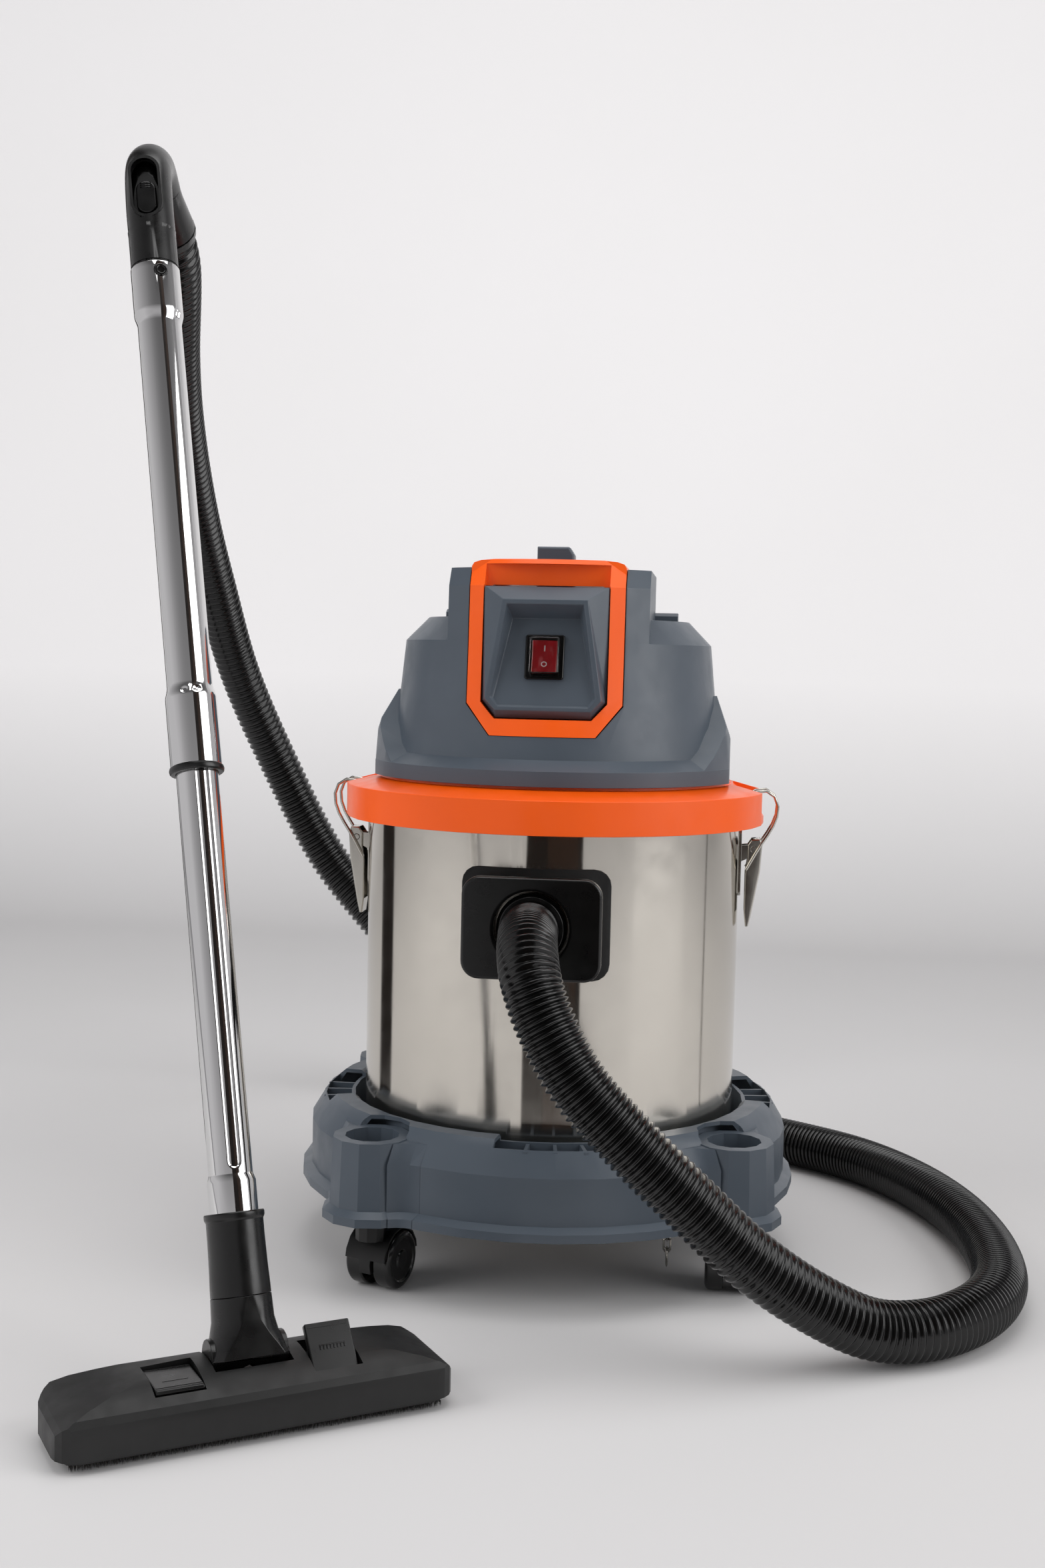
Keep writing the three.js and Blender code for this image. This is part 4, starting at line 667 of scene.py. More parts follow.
def bristle_fibre():
    # horsehair and nylon tufts: near black with browner single hairs
    made, tree = material("nylon_bristle_tufted")
    if tree:
        place = add(tree, "ShaderNodeTexCoord").outputs["Object"]
        hairs = add(tree, "ShaderNodeTexNoise", {"Vector": place, "Scale": 1 / 0.002, "Detail": 2.0})
        tint = blend(tree, hairs.outputs["Fac"], rgba(linear("#0c0b0b")), rgba(linear("#2b2724")))
        fine = add(tree, "ShaderNodeBump", {"Height": hairs.outputs["Fac"], "Strength": 0.5, "Distance": 0.0001})
        shade(
            tree,
            add(
                tree,
                "ShaderNodeBsdfPrincipled",
                {"Base Color": tint, "Roughness": 0.55, "Normal": fine.outputs["Normal"]},
            ),
        )
    return made


# ---------- pieces ----------
def hose_line():
    ends = [tuple(GRIP_END @ Vector((0, 0, s))) for s in (40, 8.3)]
    return smooth_path([*HOSE_ROUTE, *ends], 4000)


def hose_pitch(part):
    """Rib spacing at a part of the way from the inlet, 0 to 1: pressed together in the bends, drawn out where it hangs."""
    stops = [(0.0, 4.6), (0.05, 5.2), (0.13, 7.0), (0.2, 6.2), (0.28, 4.8), (0.44, 5.0), (0.58, 7.6), (1.0, 8.4)]
    for (a, low), (b, high) in zip(stops, stops[1:]):
        if part <= b:
            return low + (high - low) * (part - a) / (b - a)
    return stops[-1][1]


def make_hose():
    line, length = hose_line()
    steps = 10
    spots, phases, walked, phase = [], [], 0.0, 0.0
    while walked < length:
        spots.append(walked)
        phases.append(phase)
        walked += hose_pitch(walked / length) / steps
        phase += 1 / steps
    path = [line[min(len(line) - 1, round(s / length * (len(line) - 1)))] for s in spots]
    exact = []
    for s in spots:
        at = s / length * (len(line) - 1)
        i = min(int(at), len(line) - 2)
        exact.append(line[i].lerp(line[i + 1], at - i))
    path = exact
    depth = sizes().rib_depth * 1000
    ends = sizes().rib_sides

    def radius(i, angle):
        wave = 0.5 + 0.5 * math.cos(math.tau * phases[i] - angle)
        fade = min(1.0, spots[i] / 10, (length - spots[i]) / 10)
        swell = HOSE_R + 0.5 * (1 - spots[i] / length)
        return swell - depth * (1 - wave**0.75) * fade - 1.4 * (1 - fade)

    made = make("hose_ribbed", swept(path, radius, ends), finish=hose_plastic())
    seat(made, "hose")
    return made


def make_drum():
    height = DRUM_TOP - DRUM_Z
    bead = arc(DRUM_R, height - 4, 4, -80, 170, 12)
    profile = [
        (0, 0),
        (DRUM_R - 8, 0),
        *arc(DRUM_R - 8, 8, 8, -80, 0, 8),
        *bead,
        (DRUM_R - 1.5, height - 8),
        (DRUM_R - 1.5, 9),
        (DRUM_R - 9, 1.5),
        (0, 1.5),
    ]
    shell = make("drum_shell", lathe(profile, 240), turned(z=DRUM_Z), stainless())
    hole = make("hole", lathe([(0, 100), (34.8, 100), (34.8, 200), (0, 200)], 64), turned(z=INLET_Z, rx=90))
    combine(shell, [hole])
    soften(shell, 0)
    return seat(shell, "drum")


def make_inlet():
    dressed("inlet_gasket", black_rubber(), 0.5)
    dressed("inlet_adapter", nickel(), 0.8)
    face = DRUM_R + 30
    plate = make("inlet_plate_moulding", prism(rounded(116, 85, 15, 8), face - 11, face), turned(z=INLET_Z, rx=90), black_satin())
    port = make("port", lathe([(0, 0), (31.5, 0), (31.5, 300), (0, 300)], 64), turned(z=INLET_Z, rx=90))
    combine(plate, [port])
    soften(plate, 2.6, 4)
    seat(plate, "inlet_plate")
    cuff = [
        (22.5, face - 24.7),
        (27.5, face - 24.7),
        (27.5, face - 10),
        (29.5, face - 9),
        (29.5, face - 6),
        (27.5, face - 5),
        (27.5, face - 2.4),
        (26.6, face - 0.8),
        (22.5, face - 0.8),
    ]
    made = make("hose_inlet_cuff_moulding", lathe(cuff, 72), turned(z=INLET_Z, rx=90), black_gloss())
    soften(made, 0.4)
    seat(made, "hose_inlet_cuff")


def make_collar():
    dressed("collar_ring", orange_plastic(), 1.0, segments=3)
    dressed("tank_seal", black_rubber(), 0.5)


def make_head():
    dressed("motor_housing", slate_plastic(), 1.0, segments=3)
    dressed("carrying_frame", orange_plastic(), 1.2, segments=3)
    dressed("switch_panel", slate_plastic(), 1.0, segments=3)
    dressed("top_knob", slate_plastic(), 0.8)
    dressed("cord_gland", black_rubber(), 0.6)


def make_switch():
    dressed("switch_bezel", black_gloss(), 0.5)
    dressed("switch_rocker", red_rocker(), 0.5)
    on = make("switch_mark_on", prism(rounded(0.9, 5.0, 0.4), -0.4, 0.12), SWITCH @ turned(0, -4.0, 7, rx=93.3), white_ink())
    circle = [(1.7, -0.4), (2.5, -0.4), (2.5, 0.12), (1.7, 0.12)]
    off = make("switch_mark_off", lathe(circle, 40), SWITCH @ turned(0, -5.1, -7, rx=77.9), white_ink())
    extra(join("switch_marks", [on, off]), "switch_rocker")
    shell = make("switch_cover", prism(rounded(25.5, 32, 2.2), 3.0, 10.6), SWITCH @ TO_FRONT, clear_cover())
    hollow = make("hollow", prism(rounded(24.1, 30.6, 1.6), 2.0, 9.9), SWITCH @ TO_FRONT)
    combine(shell, [hollow])
    soften(shell, 0.6, 3)
    extra(shell, "switch_bezel")


def make_insides():
    dressed("motor", cast_aluminium(), 0.8)
    dressed("motor_fan", cast_aluminium(), 0.0)
    dressed("float_cage", black_satin(), 0.3)
    dressed("float_ball", black_satin(), 0.0)
    dressed("filter_sleeve", filter_cloth(), 0.8)


def make_latches():
    for side in ("left", "right"):
        dressed(f"latch_bracket_{side}", nickel(), 0.25)
        dressed(f"latch_lever_{side}", nickel(), 0.4)
        dressed(f"latch_bail_{side}", nickel(), 0.0)


def make_dolly():
    dressed("dolly", slate_plastic(), 0.9, segments=3)
    dressed("earthing_chain", nickel(), 0.0)


def make_casters():
    wheel = [
        (3.3, 5.8),
        (23.0, 5.8),
        *arc(23.4, 7.6, 1.6, -80, 0, 4),
        *arc(21.5, 17.6, 3.5, 0, 70, 6),
        (20.5, 21.8),
        (18.6, 21.6),
        (17.2, 20.4),
        (8.5, 20.2),
        (7.4, 21.6),
        (0, 21.8),
        (0, 20.8),
        (3.3, 20.8),
    ]
    for corner, (spot, turn) in CASTERS.items():
        x, y = (LOBE_DISTANCE * f(math.radians(spot)) for f in (math.cos, math.sin))
        axle = TROLLEY @ turned(x, y, 0, rz=turn) @ turned(-18, 0, 25)
        dressed(f"caster_hood_{corner}", black_texture(), 0.8)
        dressed(f"caster_axle_{corner}", nickel(), 0.3)
        for side, tilt in (("left", 90), ("right", -90)):
            name = f"caster_wheel_{corner}_{side}"
            made = make(f"{name}_tread", lathe(wheel, 72), axle @ turned(rx=tilt), black_gloss())
            soften(made, 0.4)
            seat(made, name)


def tube_wall(name, stations, segments, mark, place, finish, wall=1.0):
    """A thin tube from (station, radius) pairs, with marks pressed in by mark(station, angle)."""
    rings = []
    for s, r in stations:
        ring = []
        for k in range(segments):
            a = math.tau * k / segments
            deep = r - mark(s, a)
            ring.append((deep * math.cos(a), deep * math.sin(a), s))
        rings.append(ring)
    inner = [[(x * (r - wall) / max(math.hypot(x, y), 1), y * (r - wall) / max(math.hypot(x, y), 1), s) for x, y, s in ring] for ring, (s, r) in zip(rings, stations)]
    shape = skin([*rings, *reversed(inner), rings[0]], caps=False)
    return make(name, shape, place, finish)


def facing(angle, middle):
    """How far an angle is from another, in radians."""
    return abs((angle - middle + math.pi) % math.tau - math.pi)


def between(start, end, step):
    count = max(1, round((end - start) / step))
    return [start + (end - start) * i / count for i in range(count + 1)]


def make_wand():
    front = math.radians(-94)

    def channel(s, a):
        across = facing(a, front) * TUBE_R
        start = 134.0
        if s < start:
            across = math.hypot(across, (start - s))
        return 1.1 * max(0.0, min(1.0, (5.2 - across) / 1.6))

    low = [(s, SWAGE_R) for s in between(55, SWAGE_TOP, 20)]
    low += [(s, TUBE_R) for s in (*between(SWAGE_TOP + 5, 140, 0.6), *between(145, 490, 15))]
    lower = tube_wall("lower_tube_plated", low, 144, channel, WAND, chrome())
    soften(lower, 0)
    seat(lower, "lower_tube")

    def dimple(s, a):
        near = [math.hypot((s - 801) / 3.6, facing(a, front + turn) * 19 / 1.5) for turn in (0.62, 0.78)]
        near += [math.hypot((s - 487) / 2.6, facing(a, front + turn) * 19 / 3.4) for turn in (-0.45, 0.05)]
        return 1.3 * sum(max(0.0, 1 - d * d) for d in near)

    high = [(430, SOCKET_R - 0.8), (430.6, SOCKET_R), (480, SOCKET_R)]
    for i in range(15):
        part = i / 14
        high.append((483 + 11 * part, SOCKET_R + (UPPER_R - SOCKET_R) * (0.5 - 0.5 * math.cos(math.pi * part))))
    high += [(s, UPPER_R) for s in between(500, 790, 30)]
    for i in range(15):
        part = i / 14
        high.append((795 + 11 * part, UPPER_R + (SOCKET_R - UPPER_R) * (0.5 - 0.5 * math.cos(math.pi * part))))
    high += [(810, SOCKET_R), (840, SOCKET_R), (844.3, SOCKET_R), (845, SOCKET_R - 0.5)]
    upper = tube_wall("upper_tube_plated", high, 144, dimple, WAND, chrome())
    button = WAND @ turned(rz=-3) @ turned(z=UPPER_END - 9, rx=90)
    hole = make("hole", lathe([(0, 10), (5.6, 10), (5.6, 30), (0, 30)], 40), button)
    combine(upper, [hole])
    soften(upper, 0)
    seat(upper, "upper_tube")

    top = UPPER_START - 0.3
    collar = [
        (TUBE_R + 0.3, top - 5),
        (19.6, top - 5),
        (20.6, top - 4),
        (20.9, top - 2),
        (20.4, top),
        (18.3, top),
        (18.3, top + 40),
        (TUBE_R + 0.3, top + 40),
    ]
    made = make("tube_collar_moulding", lathe(collar, 72), WAND, black_satin())
    soften(made, 0.3)
    seat(made, "tube_collar")

    cap = [(0, 18.3), (5.3, 18.3), (5.3, 20.2), (4.6, 20.9), (3.4, 20.9), (3.0, 20.5), (0, 20.4)]
    made = make("wand_lock_button_moulding", lathe(cap, 40), button, black_gloss())
    soften(made, 0.2)
    seat(made, "wand_lock_button")

    socket = [
        (SWAGE_R + 0.3, 40.3),
        (NECK_R + 0.7, 40.3),
        (NECK_R + 0.6, 46),
        (NECK_R, 60),
        (NECK_R - 0.4, 80),
        (NECK_R - 0.4, SOCKET_TOP - 6),
        (NECK_R + 0.4, SOCKET_TOP - 4.6),
        (NECK_R + 0.8, SOCKET_TOP - 3.4),
        (NECK_R + 0.8, SOCKET_TOP - 1),
        (NECK_R + 0.2, SOCKET_TOP),
        (SWAGE_R + 0.3, SOCKET_TOP),
    ]
    made = make("nozzle_socket_moulding", lathe(socket, 72), WAND, black_satin())
    soften(made, 0.3)
    seat(made, "nozzle_socket")


def make_handle():
    spigot, bore, side = SOCKET_R - 1.4, GRIP_R - 3.5, Vector((1, 0, 0))
    line, _ = smooth_path(GRIP_PATH, 70)
    body = make("grip_handle_moulding", swept(line, lambda i, a: GRIP_R, 56, up=side), GRIP, black_satin())
    neck = [(0, -40), (spigot, -40), (spigot, 0.3), (18.4, 0.6), (18.6, 4), (18.2, 8), (18.2, 20), (19.3, 34), (0, 34)]
    rear = [(0, -46), (18.7, -46), (20, -32), (24.4, -3), (24.6, -1), (24, 0), (0, 0)]
    parts = [make("neck", lathe(neck, 56), GRIP), make("rear", lathe(rear, 56), GRIP_END)]
    combine(body, parts, "UNION")
    inner, _ = smooth_path([(0, 0, -20), *GRIP_PATH[1:-1], (0, 109, 103)], 60)
    holes = [
        make("airway", swept(inner, lambda i, a: bore, 40, up=side), GRIP),
        make("mouth", lathe([(0, -60), (bore, -60), (bore, 34), (0, 34)], 40), GRIP),
        make("tail", lathe([(0, -20), (bore, -20), (bore, 10), (0, 10)], 40), GRIP_END),
        make("cuff_seat", lathe([(0, -12), (HOSE_R - 3.7, -12), (HOSE_R - 3.7, 10), (0, 10)], 40), GRIP_END),
    ]
    combine(body, holes)
    # a lipped oval pocket for the air slider, sunk into the front of the grip
    front = GRIP @ TO_FRONT
    seat_y = GRIP_R - 8
    lip = make("lip", prism(rounded(25.5, 55, 12.7, 10, cy=66), seat_y, GRIP_R + 0.2), front)
    combine(body, [lip], "UNION")
    combine(body, [make("pocket", prism(rounded(21, 50, 10.4, 10, cy=66), seat_y, GRIP_R + 20), front)])
    hollow = GRIP @ turned(rz=20.5) @ turned(z=-9, rx=90)
    boss = make("boss", lathe([(0, 13), (8.3, 13), (8.3, spigot - 0.4), (0, spigot - 0.4)], 32), hollow)
    combine(body, [boss], "UNION")
    combine(body, [make("button_bore", lathe([(0, 15), (5.6, 15), (5.6, 40), (0, 40)], 32), hollow)])
    tidy(body, 0.2)
    soften(body, 0.7, 3, 30)
    seat(body, "grip_handle")
    slider = make("slider", prism(rounded(16.4, 29, 8, 10, cy=58), seat_y + 0.35, seat_y + 5.4), front, black_gloss())
    ridges = [make("ridge", block(-4.5, 4.5, 66 + 1.8 * i, 66.8 + 1.8 * i, 16.2, 16.8), front, black_gloss()) for i in range(3)]
    soften(slider, 1.6, 4)
    seat(join("air_slider_moulding", [settle(slider), *ridges]), "air_slider")
    dressed("hose_handle_cuff", black_satin(), 0.4)


def make_nozzle():
    dressed("nozzle_body", black_texture(), 2.4, segments=4, angle=20)
    dressed("nozzle_sole", black_texture(), 0.5)
    dressed("nozzle_elbow", black_satin(), 1.2, segments=3)
    left = NOZZLE @ turned(-57, PEDAL_HINGE, 41)
    right = NOZZLE @ turned(57, PEDAL_HINGE, 41, rx=50)
    for side in ("left", "right"):
        dressed(f"pedal_{side}", black_satin(), 0.6)
    line = make("pedal_line", block(-9, 9, 2.0, 2.9, 2.3, 2.75), left, black_gloss())
    rim = [block(-16, 16, y, y + 1.0, 2.3, 2.8) for y in (-8.0, 24.0)]
    rims = [make("pedal_rim", shape, left, black_satin()) for shape in rim]
    extra(soften(join("pedal_left_marks", [line, *rims]), 0.15), "pedal_left")
    teeth = [make("tooth", block(-9 + 2.6 * i, -7.7 + 2.6 * i, 7, 10, 2.3, 2.85), right, black_gloss()) for i in range(8)]
    bar = make("bar", block(-9, 10.5, 10, 10.9, 2.3, 2.85), right, black_gloss())
    top = make("top", block(-15, 15, 23.4, 24.4, 2.3, 2.8), right, black_satin())
    extra(soften(join("pedal_right_marks", [*teeth, bar, top]), 0.15), "pedal_right")
    for node, y in (("bristle_front", -41.0), ("bristle_rear", 25.0)):
        make_bristles(node, y)


def make_bristles(node, y):
    chance = random.Random(node)
    rings_all, faces_all = [], []
    count = sizes().bristle_count
    for i in range(count):
        x = -133 + 266 * (i + chance.uniform(-0.3, 0.3)) / (count - 1)
        x = max(-133.0, min(133.0, x))
        for _ in range(3):
            root = Vector((x + chance.uniform(-0.5, 0.5), y + chance.uniform(-1.6, 1.6), 5.2))
            tip = root + Vector((chance.uniform(-1.0, 1.0), chance.uniform(-0.8, 0.8), 0))
            tip.x = max(-134.0, min(134.0, tip.x))
            tip.y = max(y - 2.5, min(y + 2.5, tip.y))
            tip.z = chance.uniform(0.0, 1.2)
            thick = chance.uniform(0.3, 0.5)
            base = len(rings_all)
            for k in range(3):
                a = math.tau * k / 3
                rings_all.append((root.x + thick * math.cos(a), root.y + thick * math.sin(a), root.z))
            rings_all.append(tuple(tip))
            faces_all += [(base, base + 1, base + 3), (base + 1, base + 2, base + 3), (base + 2, base, base + 3)]
    made = make(f"{node}_tufts", (rings_all, faces_all), NOZZLE, bristle_fibre(), smooth=False)
    return seat(made, node)


# ---------- stage ----------
def make_camera():
    data = bpy.data.cameras.new("studio_camera")
    data.sensor_fit = "VERTICAL"
    data.sensor_height = 36
    data.lens = 41.33
    data.clip_start = 0.01
    data.clip_end = 50
    made = bpy.data.objects.new("studio_camera", data)
    bpy.context.scene.collection.objects.link(made)
    place = ROW @ Vector((144.6, -1652.9, 542.3))
    turn = Matrix.Rotation(math.radians(6.05), 4, "Z") @ Matrix.Rotation(math.radians(90 - 4.046), 4, "X")
    turn = turn @ Matrix.Rotation(math.radians(1.254), 4, "Z")
    made.matrix_world = Matrix.Translation(place) @ turn
    bpy.context.scene.camera = made
    return made


def seen_paths(tree):
    """1 where a ray comes from the camera, a mirror or through glass."""
    path = add(tree, "ShaderNodeLightPath")
    glossy = add(
        tree,
        "ShaderNodeMath",
        {0: path.outputs["Is Camera Ray"], 1: path.outputs["Is Glossy Ray"]},
        operation="MAXIMUM",
    )
    both = add(tree, "ShaderNodeMath", {0: glossy.outputs[0], 1: path.outputs["Is Transmission Ray"]}, operation="MAXIMUM")
    return path, both.outputs[0]


def make_floor():
    """A pale table top that runs on as a pale wall."""
    half, back, turn, rise = 6.0, 1.9, 0.5, 4.0
    line = [(-6.0, 0.0), (back, 0.0)]
    line += [(back + turn * math.sin(a), turn * (1 - math.cos(a))) for a in (math.pi / 2 * i / 12 for i in range(1, 13))]
    line.append((back + turn, rise))
    mesh = bpy.data.meshes.new("studio_floor")
    bm = bmesh.new()
    rows = [[bm.verts.new((x, y, z)) for y, z in line] for x in (-half, half)]
    for i in range(len(line) - 1):
        bm.faces.new((rows[0][i], rows[1][i], rows[1][i + 1], rows[0][i + 1])).smooth = True
    bm.to_mesh(mesh)
    bm.free()
    made = bpy.data.objects.new("studio_floor", mesh)
    bpy.context.scene.collection.objects.link(made)
    finish, tree = material("studio_paper_matt")
    if tree:
        place = add(tree, "ShaderNodeTexCoord").outputs["Object"]
        cloud = add(tree, "ShaderNodeTexNoise", {"Vector": place, "Scale": 1.2, "Detail": 3.0})
        tint = blend(tree, cloud.outputs["Fac"], rgba(linear("#cdcbca")), rgba(linear("#d4d2d2")))
        paper = add(tree, "ShaderNodeBsdfDiffuse", {"Color": tint})
        glow = add(tree, "ShaderNodeEmission", {"Color": rgba(linear("#f0eeef")), "Strength": 0.36})
        height = add(tree, "ShaderNodeSeparateXYZ", {"Vector": place}).outputs["Z"]
        wall = add(tree, "ShaderNodeMapRange", {"Value": height, "From Min": 0.0, "From Max": 0.5})
        _, seen = seen_paths(tree)
        share = add(tree, "ShaderNodeMath", {0: seen, 1: wall.outputs["Result"]}, operation="MULTIPLY")
        both = add(tree, "ShaderNodeAddShader", {0: paper.outputs[0], 1: glow.outputs[0]})
        shader = add(tree, "ShaderNodeMixShader", {0: share.outputs[0], 1: paper.outputs[0], 2: both.outputs[0]})
        add(tree, "ShaderNodeOutputMaterial", {"Surface": shader.outputs[0]})
    mesh.materials.append(finish)
    return made


def make_world():
    world = bpy.data.worlds.new("studio_world")
    bpy.context.scene.world = world
    world.use_nodes = True
    tree = world.node_tree
    tree.nodes.clear()
    soft = add(tree, "ShaderNodeBackground", {"Color": rgba(linear("#e8eaee")), "Strength": 0.45})
    # mirrors see a pale room that darkens towards its ceiling and its unlit front
    up = add(tree, "ShaderNodeSeparateXYZ", {"Vector": add(tree, "ShaderNodeTexCoord").outputs["Generated"]})
    fall = add(
        tree,
        "ShaderNodeMapRange",
        {"Value": up.outputs["Z"], "From Min": 0.2, "From Max": 0.75, "To Min": 0.8, "To Max": 0.16},
    )
    front = add(
        tree,
        "ShaderNodeMapRange",
        {"Value": up.outputs["Y"], "From Min": -0.95, "From Max": -0.6, "To Min": 0.75, "To Max": 1.0},
    )
    level = add(tree, "ShaderNodeMath", {0: fall.outputs["Result"], 1: front.outputs["Result"]}, operation="MULTIPLY")
    pale = add(tree, "ShaderNodeBackground", {"Color": rgba(linear("#e2e0e2")), "Strength": level.outputs[0]})
    _, seen = seen_paths(tree)
    shader = add(tree, "ShaderNodeMixShader", {0: seen, 1: soft.outputs[0], 2: pale.outputs[0]})
    add(tree, "ShaderNodeOutputWorld", {"Surface": shader.outputs[0]})


def lamp(name, place, aim, size, power, mirrored=True):
    data = bpy.data.lights.new(name, "AREA")
    data.shape = "RECTANGLE"
    data.size, data.size_y = size
    data.energy = power
    made = bpy.data.objects.new(name, data)
    bpy.context.scene.collection.objects.link(made)
    made.location = place
    made.rotation_euler = (Vector(aim) - Vector(place)).to_track_quat("-Z", "Y").to_euler()
    made.visible_glossy = mirrored
    return made


def make_lamps():
    aim = (0.0, 0.0, 0.4)
    lamp("softbox_left", (-2.4, -1.3, 1.8), aim, (1.9, 2.2), 48, False)
    lamp("softbox_right", (2.5, -0.7, 1.6), aim, (1.9, 2.2), 38)
    lamp("softbox_top", (0.2, -0.2, 2.8), aim, (2.4, 1.8), 30)


def make_flags():
    """Cards that stripe the mirror-bright pieces as the dark edges of a studio do."""
    flag("card_middle", (-95, -622), (225, -622), "#241c18")
    flag("card_warm", (20, -610), (190, -610), "#3d2c22")
    flag("card_left", (-575, 205), (-640, 70), "#1d1613")
    flag("card_right", (692, 129), (697, 117), "#4c4844")


def flag(name, start, end, colour):
    """An upright card out of the picture, from one spot on the floor to another, which only mirrors see."""
    across = (Vector(end) - Vector(start)).normalized() * 5
    side = Vector((-across.y, across.x))
    corners = [tuple(Vector(p) + side * k) for p, k in ((start, 1), (start, -1), (end, -1), (end, 1))]
    made = make(name, prism(corners, 4, 1900), smooth=False)
    finish, tree = material(f"{name}_paper")
    if tree:
        place = add(tree, "ShaderNodeTexCoord").outputs["Object"]
        mottle = add(tree, "ShaderNodeTexNoise", {"Vector": place, "Scale": 3.0})
        tint = blend(tree, mottle.outputs["Fac"], rgba(linear(colour), 0.9), rgba(linear(colour), 1.1))
        shade(tree, add(tree, "ShaderNodeBsdfPrincipled", {"Base Color": tint, "Roughness": 0.9}))
    made.data.materials.append(finish)
    made.visible_camera = False
    made.visible_diffuse = False
    made.visible_shadow = False
    return made


# ---------- add-on ----------
class VacuumColours(bpy.types.PropertyGroup):
    slate: bpy.props.FloatVectorProperty(
        name="Slate plastic",
        description="Colour of the dolly, motor housing and switch panel",
        subtype="COLOR",
        default=linear("#4c545d"),
        min=0,
        max=1,
    )
    orange: bpy.props.FloatVectorProperty(
        name="Orange plastic",
        description="Colour of the collar ring and the carrying frame",
        subtype="COLOR",
        default=linear("#ff5f0a"),
        min=0,
        max=1,
    )
    black: bpy.props.FloatVectorProperty(
        name="Black plastic",
        description="Colour of the nozzle, handle, inlet and casters",
        subtype="COLOR",
        default=linear("#080808"),
        min=0,
        max=1,
    )
    hose: bpy.props.FloatVectorProperty(
        name="Hose plastic",
        description="Colour of the ribbed hose",
        subtype="COLOR",
        default=linear("#0b0b0b"),
        min=0,
        max=1,
    )
    red: bpy.props.FloatVectorProperty(
        name="Switch red",
        description="Colour of the power rocker",
        subtype="COLOR",
        default=linear("#a3161f"),
        min=0,
        max=1,
    )


class VacuumSizes(bpy.types.PropertyGroup):
    rib_depth: bpy.props.FloatProperty(
        name="Rib depth",
        description="Depth of the valleys between the hose's ribs",
        default=0.0031,
        min=0.0005,
        max=0.005,
        unit="LENGTH",
    )
    rib_sides: bpy.props.IntProperty(
        name="Rib facets",
        description="Facets round each rib of the hose",
        default=40,
        min=12,
        max=96,
    )
    bristle_count: bpy.props.IntProperty(
        name="Bristle tufts",
        description="Tufts along each bristle strip",
        default=260,
        min=20,
        max=600,
    )


class VACUUM_OT_stage(bpy.types.Operator):
    """Makes the camera, the pale floor, the world and the lamps"""

    bl_idname = "vacuum.stage"
    bl_label = "Studio"

    def execute(self, context):
        make_camera()
        make_floor()
        make_world()
        make_lamps()
        make_flags()
        return {"FINISHED"}


class VACUUM_OT_hose(bpy.types.Operator):
    """Makes the helically ribbed hose from the inlet to the handle"""

    bl_idname = "vacuum.hose"
    bl_label = "Ribbed hose"

    def execute(self, context):
        make_hose()
        return {"FINISHED"}


class VACUUM_OT_drum(bpy.types.Operator):
    """Makes the mirror-polished drum with its rolled rim"""

    bl_idname = "vacuum.drum"
    bl_label = "Drum"

    def execute(self, context):
        make_drum()
        return {"FINISHED"}


class VACUUM_OT_inlet(bpy.types.Operator):
    """Makes the gasket, adapter, plate and cuff of the hose inlet"""

    bl_idname = "vacuum.inlet"
    bl_label = "Inlet"

    def execute(self, context):
        make_inlet()
        return {"FINISHED"}


class VACUUM_OT_collar(bpy.types.Operator):
    """Makes the orange collar ring and the seal in it"""

    bl_idname = "vacuum.collar"
    bl_label = "Collar ring"

    def execute(self, context):
        make_collar()
        return {"FINISHED"}


class VACUUM_OT_head(bpy.types.Operator):
    """Makes the motor housing, carrying frame, switch panel, knob and cord gland"""

    bl_idname = "vacuum.head"
    bl_label = "Motor head"

    def execute(self, context):
        make_head()
        return {"FINISHED"}


class VACUUM_OT_switch(bpy.types.Operator):
    """Makes the switch bezel, the red rocker, its marks and its clear cover"""

    bl_idname = "vacuum.switch"
    bl_label = "Power switch"

    def execute(self, context):
        make_switch()
        return {"FINISHED"}


class VACUUM_OT_insides(bpy.types.Operator):
    """Makes the motor, fan, float cage, ball and filter sleeve"""

    bl_idname = "vacuum.insides"
    bl_label = "Motor and filter"

    def execute(self, context):
        make_insides()
        return {"FINISHED"}


class VACUUM_OT_latches(bpy.types.Operator):
    """Makes the two draw latches"""

    bl_idname = "vacuum.latches"
    bl_label = "Latches"

    def execute(self, context):
        make_latches()
        return {"FINISHED"}


class VACUUM_OT_dolly(bpy.types.Operator):
    """Makes the dolly and its earthing chain"""

    bl_idname = "vacuum.dolly"
    bl_label = "Dolly"

    def execute(self, context):
        make_dolly()
        return {"FINISHED"}


class VACUUM_OT_casters(bpy.types.Operator):
    """Makes the four twin-wheel casters"""

    bl_idname = "vacuum.casters"
    bl_label = "Casters"

    def execute(self, context):
        make_casters()
        return {"FINISHED"}


class VACUUM_OT_wand(bpy.types.Operator):
    """Makes the telescoping tubes, their collar, lock button and socket"""

    bl_idname = "vacuum.wand"
    bl_label = "Wand"

    def execute(self, context):
        make_wand()
        return {"FINISHED"}


class VACUUM_OT_handle(bpy.types.Operator):
    """Makes the bent hose handle and its air slider"""

    bl_idname = "vacuum.handle"
    bl_label = "Hose handle"

    def execute(self, context):
        make_handle()
        return {"FINISHED"}


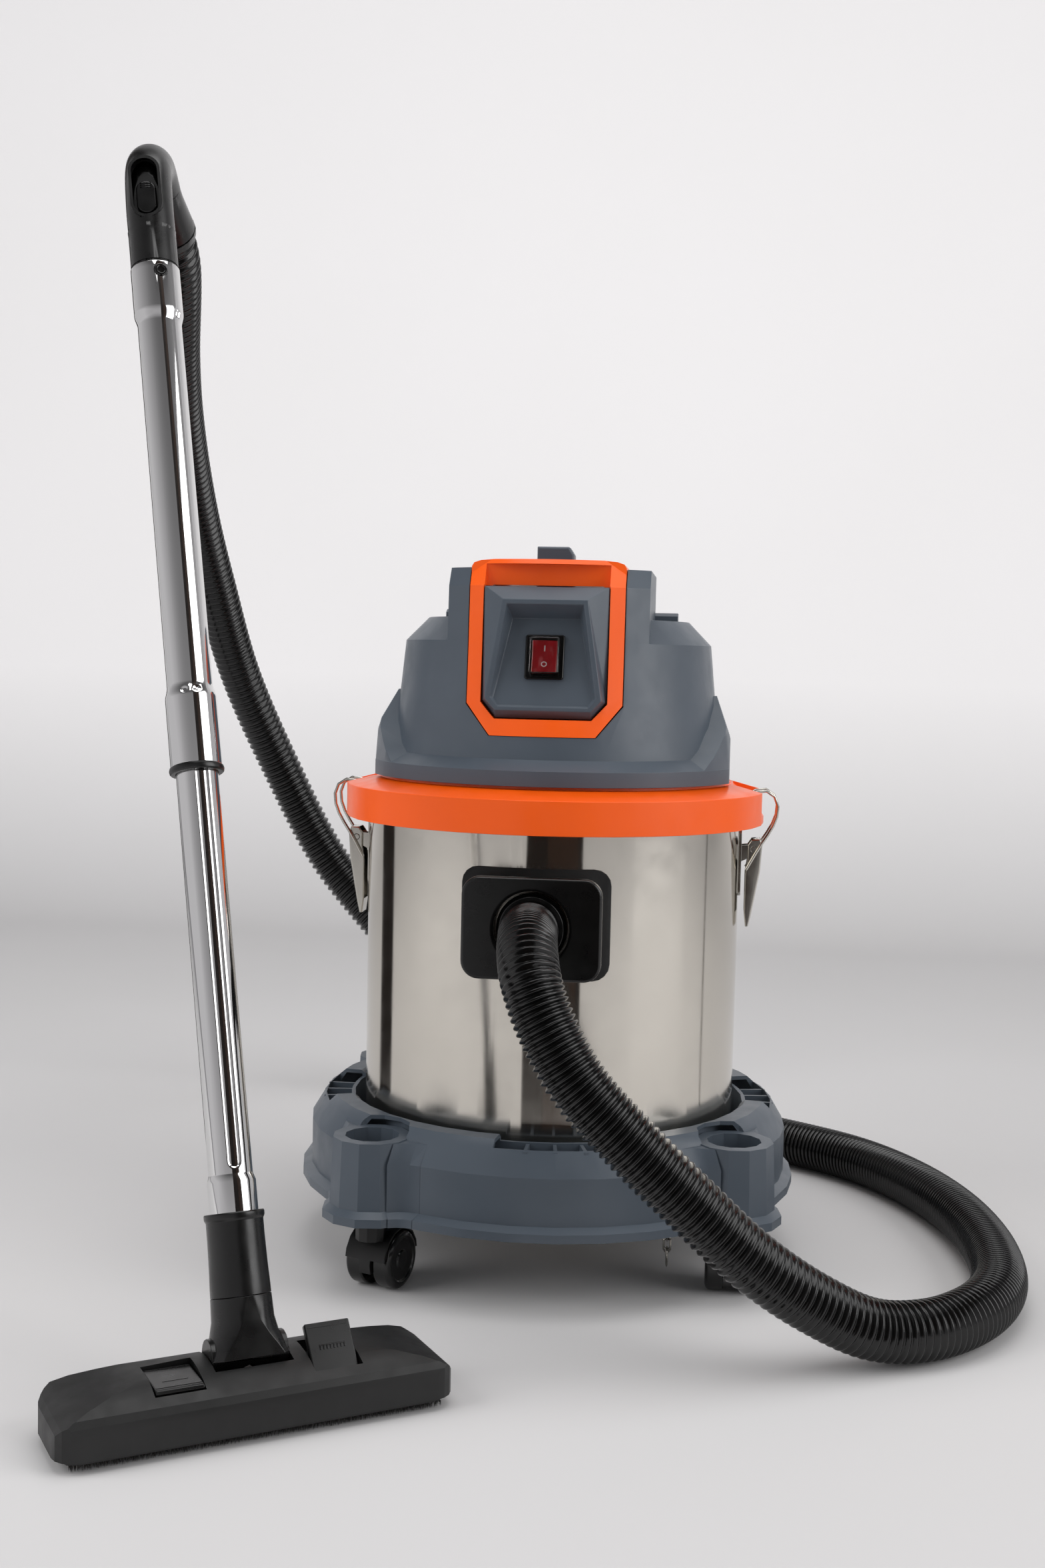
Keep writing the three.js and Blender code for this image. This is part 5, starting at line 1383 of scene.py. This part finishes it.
class VACUUM_OT_nozzle(bpy.types.Operator):
    """Makes the floor nozzle, its elbow, pedals and bristles"""

    bl_idname = "vacuum.nozzle"
    bl_label = "Floor nozzle"

    def execute(self, context):
        make_nozzle()
        return {"FINISHED"}


OPERATORS = (
    VACUUM_OT_stage,
    VACUUM_OT_hose,
    VACUUM_OT_drum,
    VACUUM_OT_inlet,
    VACUUM_OT_collar,
    VACUUM_OT_head,
    VACUUM_OT_switch,
    VACUUM_OT_insides,
    VACUUM_OT_latches,
    VACUUM_OT_dolly,
    VACUUM_OT_casters,
    VACUUM_OT_wand,
    VACUUM_OT_handle,
    VACUUM_OT_nozzle,
)


class VACUUM_PT_panel(bpy.types.Panel):
    bl_idname = "VACUUM_PT_panel"
    bl_label = "Shop Vacuum"
    bl_space_type = "VIEW_3D"
    bl_region_type = "UI"
    bl_category = "Shop Vacuum"

    def draw(self, context):
        layout = self.layout
        for group in (context.scene.vacuum_colours, context.scene.vacuum_sizes):
            for name in group.bl_rna.properties.keys():
                if name not in ("name", "rna_type"):
                    layout.prop(group, name)
        for kind in OPERATORS:
            layout.operator(kind.bl_idname)


CLASSES = (VacuumColours, VacuumSizes, *OPERATORS, VACUUM_PT_panel)


def register():
    for kind in CLASSES:
        bpy.utils.register_class(kind)
    bpy.types.Scene.vacuum_colours = bpy.props.PointerProperty(type=VacuumColours)
    bpy.types.Scene.vacuum_sizes = bpy.props.PointerProperty(type=VacuumSizes)


def unregister():
    del bpy.types.Scene.vacuum_sizes
    del bpy.types.Scene.vacuum_colours
    for kind in reversed(CLASSES):
        bpy.utils.unregister_class(kind)


def main():
    register()
    bpy.context.scene.view_settings.view_transform = "Standard"
    bpy.ops.vacuum.stage()
    bpy.ops.vacuum.hose()
    bpy.ops.vacuum.drum()
    bpy.ops.vacuum.inlet()
    bpy.ops.vacuum.collar()
    bpy.ops.vacuum.head()
    bpy.ops.vacuum.switch()
    bpy.ops.vacuum.insides()
    bpy.ops.vacuum.latches()
    bpy.ops.vacuum.dolly()
    bpy.ops.vacuum.casters()
    bpy.ops.vacuum.wand()
    bpy.ops.vacuum.handle()
    bpy.ops.vacuum.nozzle()


if __name__ == "__main__":
    main()
